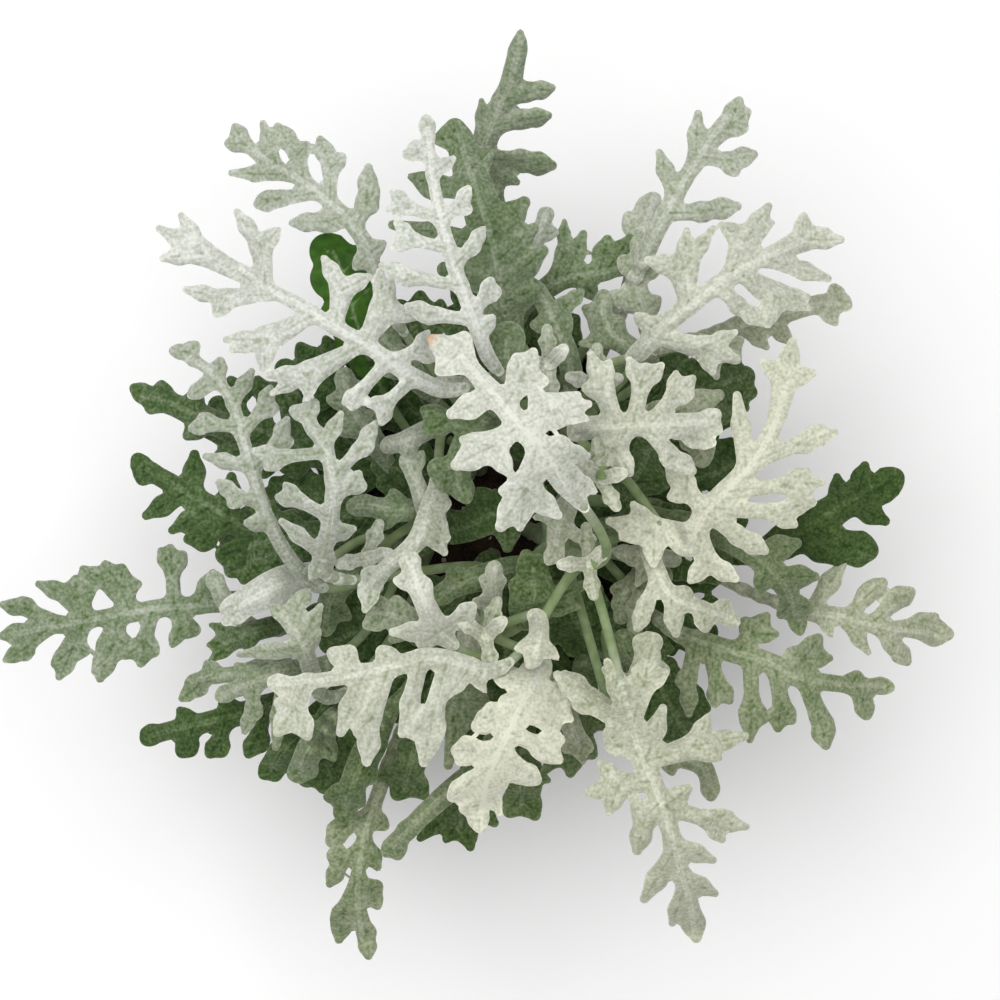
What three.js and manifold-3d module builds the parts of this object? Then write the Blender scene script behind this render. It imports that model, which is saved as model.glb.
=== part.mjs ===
// Dusty miller (silver-leaved bedding plant) growing in a 10.5 cm nursery pot.
// Millimetres, +Z up, origin at the centre of the pot's underside.
// Each leaf with its stalk is one solid; so are each stem, the soil and the pot.

import * as THREE from 'three';
import { mergeVertices } from 'three/addons/utils/BufferGeometryUtils.js';
import Module from 'manifold-3d';

// Pot: a thin moulded pot with a stiffened rim and drain holes in its floor.
const POT_BASE_RADIUS = 37.5;
const POT_RIM_RADIUS = 52.5;
const POT_HEIGHT = 95;
const POT_WALL = 1.3;
const POT_FLOOR = 2;
const RIM_BAND = 9;
const RIM_STEP = 1.6;
const DRAIN_HOLES = 5;
const DRAIN_RADIUS = 4;
const DRAIN_CIRCLE = 24;
const ROUND_STEPS = 48;

// Soil: fills the pot to a little below the rim and rises slightly to the middle.
const SOIL_EDGE_HEIGHT = 86;
const SOIL_MIDDLE_HEIGHT = 89;
const SEAT_GAP = 0.3;

// Stems: leaning shoots from the middle of the soil.
const STEM_RADIUS = 2.3;
const STEM_SIDES = 10;
const STEM_STEPS = 6;
const STEM_ROOT_DEPTH = 12;

// Leaves are laid out on a plan at the level PLAN_HEIGHT, seen by an eye straight above at
// EYE_HEIGHT: a point of a leaf lies on the line from the eye through its plan point.
const EYE_HEIGHT = 900;
const PLAN_HEIGHT = 160;
const LEAF_THICKNESS = 1.2;
const STALK_RADIUS = 1.4;
const STALK_DEPTH_MOST = 4;
const RIB_STEPS = 39;
const STALK_STEPS = 14;
const WEB_TAPER = 0.45;
const LOBE_SWEEP = 0.55;
const TIP_SWEEP = 0.7;
const JOIN_WIDTH = 2;
const CURL_WIDTH = 20;
const OUTLINE_CELL = 1.4;
const OUTLINE_TOLERANCE = 0.45;
const SHORTEST_EDGE = 0.3;
const MAP_HALF = 150;
const MAP_CELL = 1;
const AIR_GAP = 0.35;
const FIELD_REACH = 5;
const LOWEST_FOOT = SOIL_MIDDLE_HEIGHT + 6;
const FOOT_GAP = 0.55;
const OWN_STEM_REACH = 6;
const OTHER_BRANCHES = 2;
const EXTRA_STEP = 1.5;
const MOST_EXTRA = 12;
const FOOT_SWINGS = [0, 0.7, -0.7, 1.4, -1.4];
const FOOT_CHOICES = [0, -5, 5, -10, 10, -16, 16, -24, 24, -34]
  .flatMap((offset) => FOOT_SWINGS.map((swing) => [offset, swing]));

const SILVER = new THREE.Color('#dde5df');
const GREEN = new THREE.Color('#5f7d5b');

// Each branch: where its stem meets the soil [x, y], and its upper end on the plan [u, v, z].
const BRANCHES = {
  centre: { foot: [7, -5], top: [24, -14.5, 166] },
  north: { foot: [4, 13], top: [13, 39, 178] },
  northwest: { foot: [-6, 12], top: [-9, 34, 156] },
  northeast: { foot: [12, 9], top: [26, 34, 150] },
  west: { foot: [-12, -3], top: [-36, -13, 138] },
  east: { foot: [14, 0], top: [27.2, 8.4, 178] },
  south: { foot: [-2, -13], top: [-4, -34, 160] },
};

// Each leaf: name, branch, heights [blade base, middle, tip], half width of the web beside the
// rib, slopes of the blade to the left and right of the rib, curl, the rib's plan points, and
// its lobes; a lobe is a list of teeth, each [u, v, half width of the tooth's end], after
// its root [u, v] where that isn't on the usual line.
// They are in order of height, the lowest first.
const LEAVES = [
  ['leaf_west_long', 'west', [112, 124, 112], 2.2, [-0.06, -0.06], 1.0,
    [[-71, -24.5], [-83, -26], [-94, -27], [-112, -30.5], [-124, -33], [-133, -35]],
    [[[-135, -35, 1.8]], [[-87.5, -12.5, 2], [-84.5, -16, 1.8], [-90, -16, 1.6]],
     [[-111, -17, 2], [-103.5, -17.5, 2.2], [-107, -19, 2]], [[-122.5, -22, 2.2]],
     [[-132.5, -27, 1.8]], [[-130.5, -41.5, 1.8]], [[-118.5, -44, 2]],
     [[-108, -46, 2], [-104.5, -41, 1.8]], [[-97.5, -42, 2], [-93.5, -38.5, 1.8]],
     [[-87.5, -36.5, 1.2]], [[-78, -30, 1.6]]]],
  ['leaf_southwest_bright', 'south', [98, 108, 96], 3.0, [-0.08, -0.08], 1.0,
    [[-60, -52], [-70, -55], [-80, -57.5], [-89, -59.5], [-94.5, -61]],
    [[[-95.5, -62, 1.8], [-94, -59.5, 1.8]], [[-86.5, -54, 1.8]],
     [[-86, -65.5, 2.2], [-83.5, -65, 2]], [[-78.5, -66, 2], [-75, -65.5, 2]],
     [[-68, -66, 2.2], [-64, -64, 2]], [[-75, -51.5, 2]]]],
  ['leaf_west_dark', 'west', [112, 124, 116], 3.4, [-0.08, -0.08], 1.0,
    [[-58.5, -11], [-68.5, -5], [-78.5, 1], [-88.5, 7], [-95.5, 11]],
    [[[-98, 14, 2.2], [-96.5, 8, 2]], [[-95.5, -1.5, 2.4]], [[-88.5, -5.5, 2.2]],
     [[-80.5, -9.5, 2.6], [-84.5, -8, 2]], [[-72.5, -14, 2.6], [-75.5, -12, 2]], [[-63.5, -13, 2.4]],
     [[-82.5, 15, 2.6]], [[-72.5, 9, 2.6]]]],
  ['leaf_northwest_dark', 'northwest', [112, 122, 114], 3.4, [-0.08, -0.08], 1.0,
    [[-70.5, 21], [-80.5, 25], [-89.5, 29], [-96.5, 31]],
    [[[-99, 33, 2]], [[-91.5, 34, 2]], [[-94.5, 27, 1.8]], [[-84.5, 20, 2.4]], [[-82.5, 33, 2]]]],
  ['leaf_southwest_low', 'south', [104, 116, 106], 3.8, [-0.08, -0.08], 1.0,
    [[-52, -58], [-58, -64], [-62, -70]],
    [[[-64, -71.5, 2]], [[-60.5, -72, 2]], [[-57, -69.5, 2]]]],
  ['leaf_south_west_green', 'south', [114, 126, 112], 3.6, [-0.08, -0.08], 1.0,
    [[-48, -60], [-52, -66], [-54, -71]],
    [[[-56, -71.5, 2]], [[-50.5, -71, 2]], [[-45, -67, 2]], [[-54, -72, 1.8]]]],
  ['leaf_bottom_dark', 'south', [116, 126, 114], 4.0, [-0.08, -0.08], 1.0,
    [[-34, -62], [-38, -70], [-41, -78], [-42, -82]],
    [[[-42, -82.5, 2.2]], [[-46.5, -77.5, 2.4]], [[-37.5, -79, 2]], [[-34, -73, 2]]]],
  ['leaf_bottom_green', 'south', [104, 112, 100], 4.4, [-0.08, -0.08], 1.0,
    [[-6, -70], [-9, -78], [-11, -86]],
    [[[-21.5, -88.5, 2.2]], [[-14.5, -89, 2]], [[-8, -91, 2.4]], [[-1.5, -84.5, 2.4]]]],
  ['leaf_bottom_mid', 'south', [106, 114, 104], 5.0, [-0.08, -0.08], 1.0,
    [[6, -66], [6, -74], [6, -79]],
    [[[2.5, -81.5, 3]], [[9.5, -82.5, 2.8]], [[9, -75, 3]], [[13, -73, 1.6]]]],
  ['leaf_bottom_folded', 'south', [112, 120, 108], 2.6, [-0.3, -0.3], 1.0,
    [[-9, -72], [-16, -78], [-23, -84.5], [-29, -91]],
    [[[-31, -92.5, 2]], [[-27.5, -93.5, 1.8]], [[-26, -86, 1.8]]]],
  ['leaf_south_olive', 'centre', [122, 130, 122], 5.0, [-0.08, -0.08], 1.0,
    [[22, -50], [21, -58], [19, -66]],
    [[[28, -58, 3]], [[25, -66, 2.6]], [[19, -71, 2.6]], [[12, -70.5, 2.2]]]],
  ['leaf_east_green', 'east', [116, 124, 116], 5.0, [-0.06, -0.06], 1.2,
    [[76, -9], [84, -4], [92, 1], [100, 6]],
    [[[107, 9, 3.6], [104, 4.5, 3]], [[98.5, 12, 2.4]], [[104, -3, 2.6]],
     [[100, -11, 4], [97, -14, 2.4]], [[91, -14, 2.4]], [[91, 9, 2]]]],
  ['leaf_southeast_grey', 'centre', [126, 129, 108], 2.8, [-0.06, -0.06], 1.0,
    [[52, -35], [62, -38], [72, -41], [80, -45], [92, -47], [104, -47.5]],
    [[[105.5, -48, 1.5]], [[66, -30, 2], [72, -28.5, 2], [74.5, -33.5, 1.8]],
     [[78, -38.5, 2], [86, -34.5, 2.4], [89, -40, 2]], [[96.5, -44.5, 1.8]],
     [[99, -55.5, 2.2], [98.5, -51, 1.8]], [[88, -63.5, 2.6], [89, -59.5, 2]],
     [[75, -59, 2.2], [79, -57, 1.8]], [[67.5, -62, 2], [71, -57, 1.8], [66, -57, 2]],
     [[58, -52.5, 2], [62, -51.5, 2]], [[48.5, -46.5, 1.8], [51, -55, 2]]]],
  ['leaf_southeast_curl', 'centre', [130, 136, 124], 2.4, [-0.08, -0.08], 1.0,
    [[44, -66], [50, -67], [55, -69.5], [57, -75]],
    [[[57, -77.5, 2]], [[46.5, -71, 1.6]]]],
  ['leaf_northwest_green', 'northwest', [128, 134, 126], 7.5, [-0.05, -0.05], 1.5,
    [[-37, 45], [-40, 55], [-43, 65], [-45, 70]],
    [[[-48, 71, 4.5]], [[-48, 63, 5]], [[-46, 53, 4.5]], [[-38, 69, 4]], [[-34, 61, 4]]]],
  ['leaf_northwest_pale', 'northwest', [138, 146, 132], 1.8, [-0.1, -0.1], 1.0,
    [[-33.5, 59], [-35.5, 69], [-39.5, 78], [-48.5, 86], [-59.5, 94], [-68.5, 100]],
    [[[-70.5, 101, 1.6], [-62.5, 102.5, 1.6]], [[-58.5, 101.5, 1.6]],
     [[-47.5, 98, 1.6], [-41.5, 94.5, 1.6]], [[-34, 90, 1.6], [-31.5, 83, 1.6]], [[-70.5, 90, 1.6]],
     [[-64, 81.5, 1.6]], [[-53.5, 76.5, 1.6]]]],
  ['leaf_northeast_grey', 'northeast', [140, 147, 138], 2.8, [-0.1, -0.1], 1.0,
    [[63, 49], [73, 52], [83, 55], [92, 56]],
    [[[90, 60, 1.8], [94, 55, 1.6]], [[90.5, 50.5, 1.8]], [[79, 45, 1.8]], [[72, 44, 1.8]]]],
  ['leaf_northeast_pale', 'northeast', [140, 150, 140], 2.2, [-0.1, -0.1], 1.0,
    [[44, 69], [47, 79], [51, 89], [56, 97], [61, 105]],
    [[[66.5, 108, 1.8], [62, 109, 1.8], [68, 103, 1.6]], [[54.5, 106, 1.8], [54, 102, 1.6]],
     [[44.5, 95, 2]], [[69, 94.5, 2], [65, 89.5, 1.8]], [[65.5, 81, 2]]]],
  ['leaf_northeast_small', 'northeast', [150, 156, 148], 2.6, [-0.1, -0.1], 1.0,
    [[51, 45], [57, 44], [63, 43]],
    [[[65, 46, 1.8]], [[64, 40.5, 1.8]], [[58.5, 36, 1.8]]]],
  ['leaf_north_upright', 'north', [128, 150, 166], 2.0, [-0.1, -0.1], 1.0,
    [[1.5, 81], [0.5, 93], [-0.5, 103], [1.5, 112], [4.5, 121], [6.5, 127]],
    [[[6.5, 128.5, 1.2]], [[13.5, 114, 2]], [[12.5, 106, 2]], [[-4.5, 108, 1.8]], [[13, 93, 2.6]],
     [[11.5, 87, 2.4]], [[-4.5, 99, 1.8]]]],
  ['leaf_north_broad', 'north', [150, 160, 150], 6.5, [-0.1, -0.1], 1.0,
    [[1, 55], [-1, 67], [-4, 79], [-8, 91], [-11, 101]],
    [[[-12, 104, 2.6], [-17, 100, 2]], [[-3, 97, 2.6]], [[6.5, 83, 3.4]], [[9, 76, 3]],
     [[11.5, 70, 3.2]], [[9, 59.5, 3.5]], [[-20, 87, 3], [-24, 90, 2]], [[-29, 77, 2.5]],
     [[-15, 65, 4]]]],
  ['leaf_centre_dark', 'centre', [134, 140, 132], 5.5, [-0.05, -0.05], 1.0,
    [[8, 4], [0, 0], [-8, -4], [-14, -6]],
    [[[-8, 4, 3.5]], [[2, -10, 3]], [[-14, -2, 3]]]],
  ['leaf_centre_teal', 'south', [136, 142, 136], 3.6, [-0.05, -0.05], 1.0,
    [[4, -16], [-4, -18], [-11, -20], [-16, -23]],
    [[[-13.5, -16.5, 2]], [[-17, -24, 2]]]],
  ['leaf_inner_teal', 'west', [138, 142, 136], 2.8, [-0.08, -0.08], 1.0,
    [[-20, 0], [-28, 0], [-35, 1], [-39, 1]],
    [[[-40, 1, 1.8]], [[-29, 5, 1.8]], [[-36.5, 3, 1.4]], [[-32.5, -5, 1.8]]]],
  ['leaf_west_flat', 'west', [120, 131, 126], 5.0, [0.05, -0.1], 1.5,
    [[-55, -19], [-61, -21], [-67, -24], [-71, -26.5]],
    [[[-74, -30, 2.6]], [[-74.5, -26.5, 2.2]]]],
  ['leaf_southwest_green', 'west', [124, 134, 122], 2.6, [-0.08, -0.08], 1.0,
    [[-53, -43], [-60, -44], [-67, -46.5], [-75, -50]],
    [[[-75.5, -50.5, 1.4]], [[-71, -42, 1.8]], [[-69, -60, 1.6], [-65.5, -55, 1.8]],
     [[-60.5, -64, 2.2]]]],
  ['leaf_south_left', 'south', [134, 142, 134], 4.0, [-0.08, -0.08], 1.0,
    [[-8, -42], [-11, -48], [-13, -54]],
    [[[-16.5, -55.5, 2]], [[-13, -59, 2.2]], [[-8, -58, 2.4]], [[-3, -54.5, 2.4]], [[-14, -69, 2.4]]]],
  ['leaf_southwest_mid', 'south', [146, 150, 142], 3.4, [-0.06, -0.06], 1.0,
    [[-20, -31], [-27, -29], [-33, -27.5]],
    [[[-35.5, -24, 2.4]], [[-28, -24, 2]], [[-36, -31, 2.4]], [[-29, -35, 2.2]]]],
  ['leaf_west_fern', 'west', [128, 152, 140], 1.9, [-0.08, -0.08], 1.0,
    [[-52.5, -18.5], [-58.5, -10.5], [-63.5, -0.5], [-66.5, 9.5], [-69.5, 19.5], [-72.5, 29.5], [-78.5, 37.5], [-84.5, 41.5]],
    [[[-88.5, 43, 1.6], [-82, 44.5, 1.6]], [[-75.5, 40.5, 1.8]],
     [[-83.5, 31, 1.8], [-79.5, 34.5, 1.4]], [[-83.5, 22, 1.8], [-80.5, 25.5, 1.4]],
     [[-79.5, 14.5, 1.8]], [[-76, 7.5, 1.8], [-72.5, 1.5, 1.6]], [[-68.5, -3.5, 1.8]],
     [[-67, 37.5, 1.8]], [[-62, 33, 1.8], [-60.5, 27.5, 1.6]],
     [[-57.5, 24.5, 1.8], [-56.5, 18.5, 1.6]]]],
  ['leaf_southwest_fern', 'west', [130, 150, 148], 2.0, [-0.1, -0.1], 1.0,
    [[-50, -47], [-52, -40], [-55, -33], [-59, -27.5]],
    [[[-61.5, -26, 1.5]], [[-56, -25, 1.5], [-52, -22, 1.8]], [[-48.5, -26, 1.8]], [[-49, -33, 1.6]],
     [[-65.5, -38.5, 1.6]], [[-70.5, -39, 1.6]]]],
  ['leaf_west_arching', 'west', [142, 164, 158], 2.0, [-0.12, -0.12], 1.0,
    [[-48, -13], [-46, -4], [-45, 6], [-47, 16], [-52, 24]],
    [[[-56, 27, 1.8], [-50, 29, 1.8]], [[-66.5, 16, 1.8], [-63, 11.5, 1.8]],
     [[-60, 3.5, 1.8], [-58, 7, 1.4]], [[-59, -3, 1.8]], [[-43, 26, 1.8]],
     [[-33.5, 23.5, 1.8], [-35, 17.5, 1.8]], [[-37, 6.5, 1.8], [-38, 10, 1.4]], [[-39.5, -5, 1.8]],
     [[-51, -18.5, 1.6]], [[-45, -14, 1.4]]]],
  ['leaf_inner_grey', 'west', [150, 160, 148], 2.4, [-0.08, -0.08], 1.0,
    [[-18, 3], [-20, -3], [-23, -9], [-30, -15], [-36, -21]],
    [[[-37, -23, 2]], [[-14.5, 1.5, 1.8], [-17, 3.5, 1.6]], [[-15.5, -3.5, 1.8]], [[-14, -7.5, 1.6]],
     [[-15, -11.5, 2]], [[-36.5, -17, 1.8]], [[-36.5, -27, 1.8]]]],
  ['leaf_east_drooping', 'east', [140, 150, 124], 3.4, [-0.2, -0.2], 1.0,
    [[56, -5], [64, -9], [71, -14], [77, -21], [80.5, -30]],
    [[[81, -33, 1.8]], [[75.5, -28.5, 1.6]], [[84, -26.5, 2]], [[85, -18, 2.6]], [[80, -9, 3]],
     [[70, -22, 2]]]],
  ['leaf_east_curled', 'northeast', [148, 154, 148], 3.4, [-0.1, -0.1], 1.0,
    [[46, 26], [52, 21], [55, 15]],
    [[[54.5, 13, 2.4]], [[50, 17.5, 2]], [[59, 31, 3.2]], [[57, 17, 1.6]]]],
  ['leaf_east_inner', 'centre', [150, 156, 146], 2.2, [-0.06, -0.06], 1.0,
    [[40, -9], [42, -16], [46, -23], [54, -26.5], [62, -29]],
    [[[64, -30.5, 1.6]], [[50, -22.5, 2.6]], [[61.5, -25, 1.8]], [[37, -32, 2], [38.5, -27, 1.8]],
     [[47.5, -33.5, 2.2]], [[55.5, -32, 2.2]]]],
  ['leaf_centre_green', 'south', [148, 153, 149], 6.0, [-0.05, -0.1], 1.0,
    [[8, -27], [9, -22], [9, -16]],
    [[[7, -12, 2.8]], [[10.5, -13, 2]], [[23, -20, 2.2]], [[21, -26, 2]], [[3.5, -20, 2.4]]]],
  ['leaf_centre_pale', 'centre', [160, 165, 159], 2.6, [-0.08, -0.08], 1.0,
    [[18, 1], [16, -4], [15, -9]],
    [[[24, -9.5, 1.3]], [[16, -13, 1.6], [13, -14, 1.6]], [[9.5, -2, 1.5]]]],
  ['leaf_southwest_silver', 'south', [156, 168, 166], 2.6, [-0.06, -0.06], 1.0,
    [[-16, -33], [-19, -28], [-22, -21], [-24.5, -14]],
    [[[-24.5, -12.5, 2.4]], [[-28, -19, 1.8]], [[-20, -20, 2.2]], [[-7.5, -26, 2.2], [-9, -30, 1.6]],
     [[-29, -33, 2.2]], [[-21.5, -36.5, 1.8]]]],
  ['leaf_southwest_big', 'south', [152, 162, 150], 2.6, [-0.12, 0.0], 1.0,
    [[-7, -43], [-13, -41], [-20, -40], [-30, -42.5], [-45, -45.5], [-60, -47]],
    [[[-61.5, -46.5, 2]], [[-45.5, -38.5, 2.2], [-40.5, -38, 2.2]], [[-32, -38, 2.6]],
     [[-60, -60, 2.6], [-52, -61, 2.6], [-60, -52, 2]], [[-43, -60, 2.6]],
     [[-36, -68, 2.6], [-38.5, -60, 2.2]], [[-26.5, -60.5, 2.2]],
     [[-20.5, -68, 2.8], [-16, -61, 1.8], [-24, -61, 1.8]], [[-14, -50, 1.8]], [[-4, -49, 1.3]]]],
  ['leaf_southeast_inner', 'centre', [152, 150, 148], 2.8, [-0.08, -0.08], 1.0,
    [[35, -57], [36, -50], [38, -43], [39.5, -37]],
    [[[37.5, -35.5, 2.2], [42, -35.5, 2.6]], [[28.5, -43, 2.2]],
     [[17.5, -44.5, 2.6], [15.5, -46.5, 2], [21.5, -53, 2.2]], [[44.5, -43.5, 2.2], [41.5, -42, 2]]]],
  ['leaf_south_big', 'centre', [158, 171, 132], 2.5, [-0.06, -0.06], 1.0,
    [[35, -56], [37.5, -65], [41, -75], [44.5, -86], [47, -97], [50.5, -107], [52.5, -115]],
    [[[53, -115.5, 2.6]], [[44, -54, 2.4], [56, -56.5, 2], [65, -60.5, 2], [61, -64, 2]],
     [[51.5, -75.5, 2], [65.5, -85.5, 1.6], [60.5, -89, 1.8], [61.5, -82.5, 2]], [[58, -94.5, 1.8]],
     [[57.5, -103.5, 1.8]], [[29, -60, 2.2], [29.5, -64, 2.2]],
     [[26.5, -68.5, 2.2], [24.5, -76, 2.6], [29, -77.5, 2]], [[36.5, -79, 2], [37.5, -91.5, 2.2]],
     [[41, -96.5, 2], [38.5, -104.5, 2]], [[46, -111.5, 1.8]]]],
  ['leaf_south_white', 'south', [160, 172, 156], 2.6, [-0.08, -0.08], 1.0,
    [[12, -44], [9, -52], [5, -60], [0, -68], [-3, -75], [-6, -83]],
    [[[-6, -84, 1.8]], [[2.5, -45, 2.2], [0.5, -47, 1.6]], [[-0.5, -54.5, 1.8], [-5, -58, 2]],
     [[-10, -62.5, 2.2], [-10.5, -66, 1.8]], [[-12, -76, 2.2], [-10, -70, 2]], [[-9.5, -80.5, 1.6]],
     [[17.5, -51.5, 2], [17.5, -55, 2]], [[14.5, -58.5, 2]], [[15, -63, 2], [14.5, -66.5, 2]],
     [[9, -71.5, 2.4], [5, -71, 1.8]], [[0.5, -74, 1.8]]]],
  ['leaf_centre_back', 'north', [156, 164, 158], 4.2, [-0.06, -0.06], 1.0,
    [[-1, 27], [-7, 21], [-11, 13], [-11, 6]],
    [[[-20.5, 27, 2.4], [-19.5, 21.5, 2.8]], [[-17.5, 11.5, 3], [-15, 6, 2.4]], [[-9, 3, 2.6]]]],
  ['leaf_centre_top', 'north', [157, 164, 162], 4.2, [-0.05, -0.05], 1.0,
    [[0, 29], [1.5, 37], [2, 46]],
    [[[2, 46.5, 4.4]]]],
  ['leaf_northwest_big', 'northwest', [163, 176, 162], 2.4, [-0.06, -0.06], 1.0,
    [[-13.5, 29], [-25.5, 34], [-36.5, 41], [-48.5, 50], [-61.5, 59], [-73.5, 65], [-82.5, 69]],
    [[[-89.5, 74.5, 2], [-84.5, 77, 2], [-89.5, 68.5, 2]],
     [[-69, 78, 2], [-70.5, 74, 1.6], [-60.5, 73.5, 1.8]],
     [[-46.5, 66, 2], [-50.5, 63, 1.6], [-36.5, 62, 1.8]],
     [[-31.5, 61.5, 2], [-34.5, 56, 1.6], [-22, 51.5, 1.8]], [[-83.5, 57.5, 1.8], [-76, 52.5, 1.8]],
     [[-73, 46, 2], [-64.5, 38.5, 1.8], [-67.5, 44, 1.6]], [[-60, 35, 1.8], [-55, 32, 1.8]],
     [[-35.5, 28, 2.2]]]],
  ['leaf_north_fern', 'north', [172, 182, 168], 1.9, [-0.1, -0.1], 1.0,
    [[-4, 43], [-8, 54], [-12, 65], [-15, 75], [-18, 89], [-19.5, 103]],
    [[[-20, 106, 1.8]], [[-25.5, 96, 1.6], [-23, 99, 1.4]], [[-29, 86, 1.6], [-30, 81, 1.6]],
     [[-28, 77.5, 1.6], [-29, 71, 1.6]], [[-32, 66, 1.8], [-27, 62, 1.6]],
     [[-25, 55, 2], [-21, 52, 1.8]], [[-12.5, 95, 1.5]], [[-8.5, 87, 1.6], [-8.5, 81, 1.6]],
     [[-4.5, 76, 1.6], [-6.5, 71, 1.5]], [[-2.5, 62, 1.8], [-0.5, 59, 1.6]], [[-2, 52, 1.8]]]],
  ['leaf_northeast_big', 'northeast', [160, 172, 158], 2.8, [-0.08, -0.08], 1.0,
    [[38, 43], [46, 49], [53, 56], [61, 62], [71, 65], [83, 69], [93, 71.5]],
    [[[83, 78, 2.2], [80, 73, 2]], [[73, 80, 2.2], [67, 77.5, 2]], [[59, 77, 2], [52, 75, 2.2]],
     [[42, 68, 2.4], [45, 64, 2]], [[89, 62.5, 2]], [[83.5, 56, 2.4], [80, 53, 2]], [[75, 50, 2.2]],
     [[38.5, 52, 1.8]], [[44.5, 51, 1.4]]]],
  ['leaf_east_big', 'east', [158, 168, 158], 3.4, [-0.08, -0.08], 1.0,
    [[52, -8.5], [58, -0.5], [63, 7.5], [69, 16.5], [74, 26.5], [78, 35.5], [80, 42.5]],
    [[[52.5, -17.5, 2.8], [63.5, -18, 3.2], [59.5, -10, 2.4]], [[72.5, -10.5, 2.8]],
     [[80.5, -3.5, 2], [85, 1, 2.2], [77, 2, 2.2]], [[85, 6.5, 3], [83, 9.5, 2.6]],
     [[84.5, 20.5, 2], [91, 20, 1.8], [89, 16, 1.8]], [[85, 36, 2.2]],
     [[32, -3.5, 3], [35.5, -0.5, 2.8], [34.5, -8, 2.2], [42.5, -13.5, 2.6]],
     [[47.5, 3, 2.8], [47, 10, 2.8]], [[63.5, 12.5, 3.4]], [[67, 28.5, 2.4], [62.5, 26.5, 2]],
     [[73, 39, 2.2]], [[80, 44.5, 2.4]]]],
  ['leaf_east_fan', 'east', [170, 180, 172], 3.4, [-0.05, -0.1], 1.0,
    [[22, 22], [33, 22], [43, 23], [51, 23.5], [58, 22.5]],
    [[[28.5, 40, 2], [32, 39, 2.4], [36.5, 38.5, 2.4]], [[44.5, 37.5, 2], [40.5, 35, 1.6]],
     [[54, 33, 1.8], [49, 36, 1.6]], [[58.5, 25.5, 2], [60.5, 22, 2.2]], [[27.5, 12, 1.8]],
     [[32.5, 10.5, 1.8], [37, 9, 1.8], [36.5, 13, 1.6]], [[51.5, 11, 2.2], [47.5, 12, 1.6]],
     [[56.5, 19, 1.8]]]],
  ['leaf_centre_silver', 'east', [188, 198, 187], 3.4, [-0.05, -0.1], 1.0,
    [[18, 7], [14, 12.5], [10, 18], [4.5, 24], [0, 29.5], [-4.5, 34.5], [-10.5, 41.5]],
    [[[-18.4, 46.2, 2.5], [-9.4, 46.8, 2.7], [-16.4, 37.4, 2.3], [-11.8, 41.5, 4.4]],
     [[-1, 31], [-13, 26, 3]],
     [[4, 22], [-10, 19, 2.2], [-11.8, 12.2, 3.1], [2.6, 9.8, 2.2], [-4.5, 16, 3.6]],
     [[9.5, 15.5], [0.6, 5.2, 2.2], [0.2, -4.4, 3.1], [5.4, -4.8, 2.1], [15.6, -1.4, 2.5], [7, 5, 3.2]],
     [[1.5, 28.5], [4.6, 41.2, 2.5], [9, 42.6, 2.5], [12, 34.8, 2.4], [6.5, 36.5, 3.6]],
     [[6, 23], [20.8, 31, 2.3], [23.8, 28.6, 2.2], [23.4, 24.6, 1.6], [14.5, 27, 4.4], [9.5, 29.5, 3]],
     [[10, 17], [23.8, 14.6, 1.7], [16, 17.6, 2.8]], [[13, 12.5], [25.4, 5, 1.9], [19.5, 9.4, 2.3]]]],
];

// A plan point at height z, in the part's own coordinates.
function onRay(u, v, z) {
  const scale = (EYE_HEIGHT - z) / (EYE_HEIGHT - PLAN_HEIGHT);
  return new THREE.Vector3(u * scale, v * scale, z);
}

// The plan point [u, v] of a point in the part's own coordinates.
function planOf(x, y, z) {
  const scale = (EYE_HEIGHT - PLAN_HEIGHT) / (EYE_HEIGHT - z);
  return [x * scale, y * scale];
}

function clamp(value, low, high) {
  return Math.min(Math.max(value, low), high);
}

// ---- stems ----

function stemPoint(branch, z) {
  const { foot, top } = BRANCHES[branch];
  const end = onRay(...top);
  const t = (z - SOIL_EDGE_HEIGHT) / (end.z - SOIL_EDGE_HEIGHT);
  return new THREE.Vector3(foot[0] + (end.x - foot[0]) * t, foot[1] + (end.y - foot[1]) * t, z);
}

// The distance from a point to the straight middle line of a stem.
function stemDistance(branch, point) {
  const low = stemPoint(branch, SOIL_EDGE_HEIGHT - STEM_ROOT_DEPTH);
  const high = stemPoint(branch, BRANCHES[branch].top[2]);
  return new THREE.Line3(low, high).closestPointToPoint(point, true, new THREE.Vector3()).distanceTo(point);
}

function tube(branch, radius, low, high) {
  const line = new THREE.LineCurve3(stemPoint(branch, low), stemPoint(branch, high));
  const ring = new THREE.Shape();
  ring.absarc(0, 0, radius, 0, 2 * Math.PI);
  return new THREE.ExtrudeGeometry(ring, {
    extrudePath: line, steps: STEM_STEPS, curveSegments: STEM_SIDES, bevelEnabled: false,
  });
}

// ---- leaf outline ----

// The rib as evenly stepped points of a smooth curve through its plan points.
function ribLine(points) {
  const through = points.map(([u, v]) => new THREE.Vector3(u, v, 0));
  return new THREE.CatmullRomCurve3(through, false, 'catmullrom', 0.5)
    .getPoints(RIB_STEPS)
    .map(({ x, y }) => [x, y]);
}

function lengthsAlong(line) {
  const lengths = [0];
  for (let i = 1; i < line.length; i++) {
    lengths.push(lengths[i - 1] + Math.hypot(line[i][0] - line[i - 1][0], line[i][1] - line[i - 1][1]));
  }
  return lengths;
}

function pointAtLength(line, lengths, wanted) {
  let i = 1;
  while (i < lengths.length - 1 && lengths[i] < wanted) i++;
  const t = clamp((wanted - lengths[i - 1]) / (lengths[i] - lengths[i - 1]), 0, 1);
  return [
    line[i - 1][0] + (line[i][0] - line[i - 1][0]) * t,
    line[i - 1][1] + (line[i][1] - line[i - 1][1]) * t,
  ];
}

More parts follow.
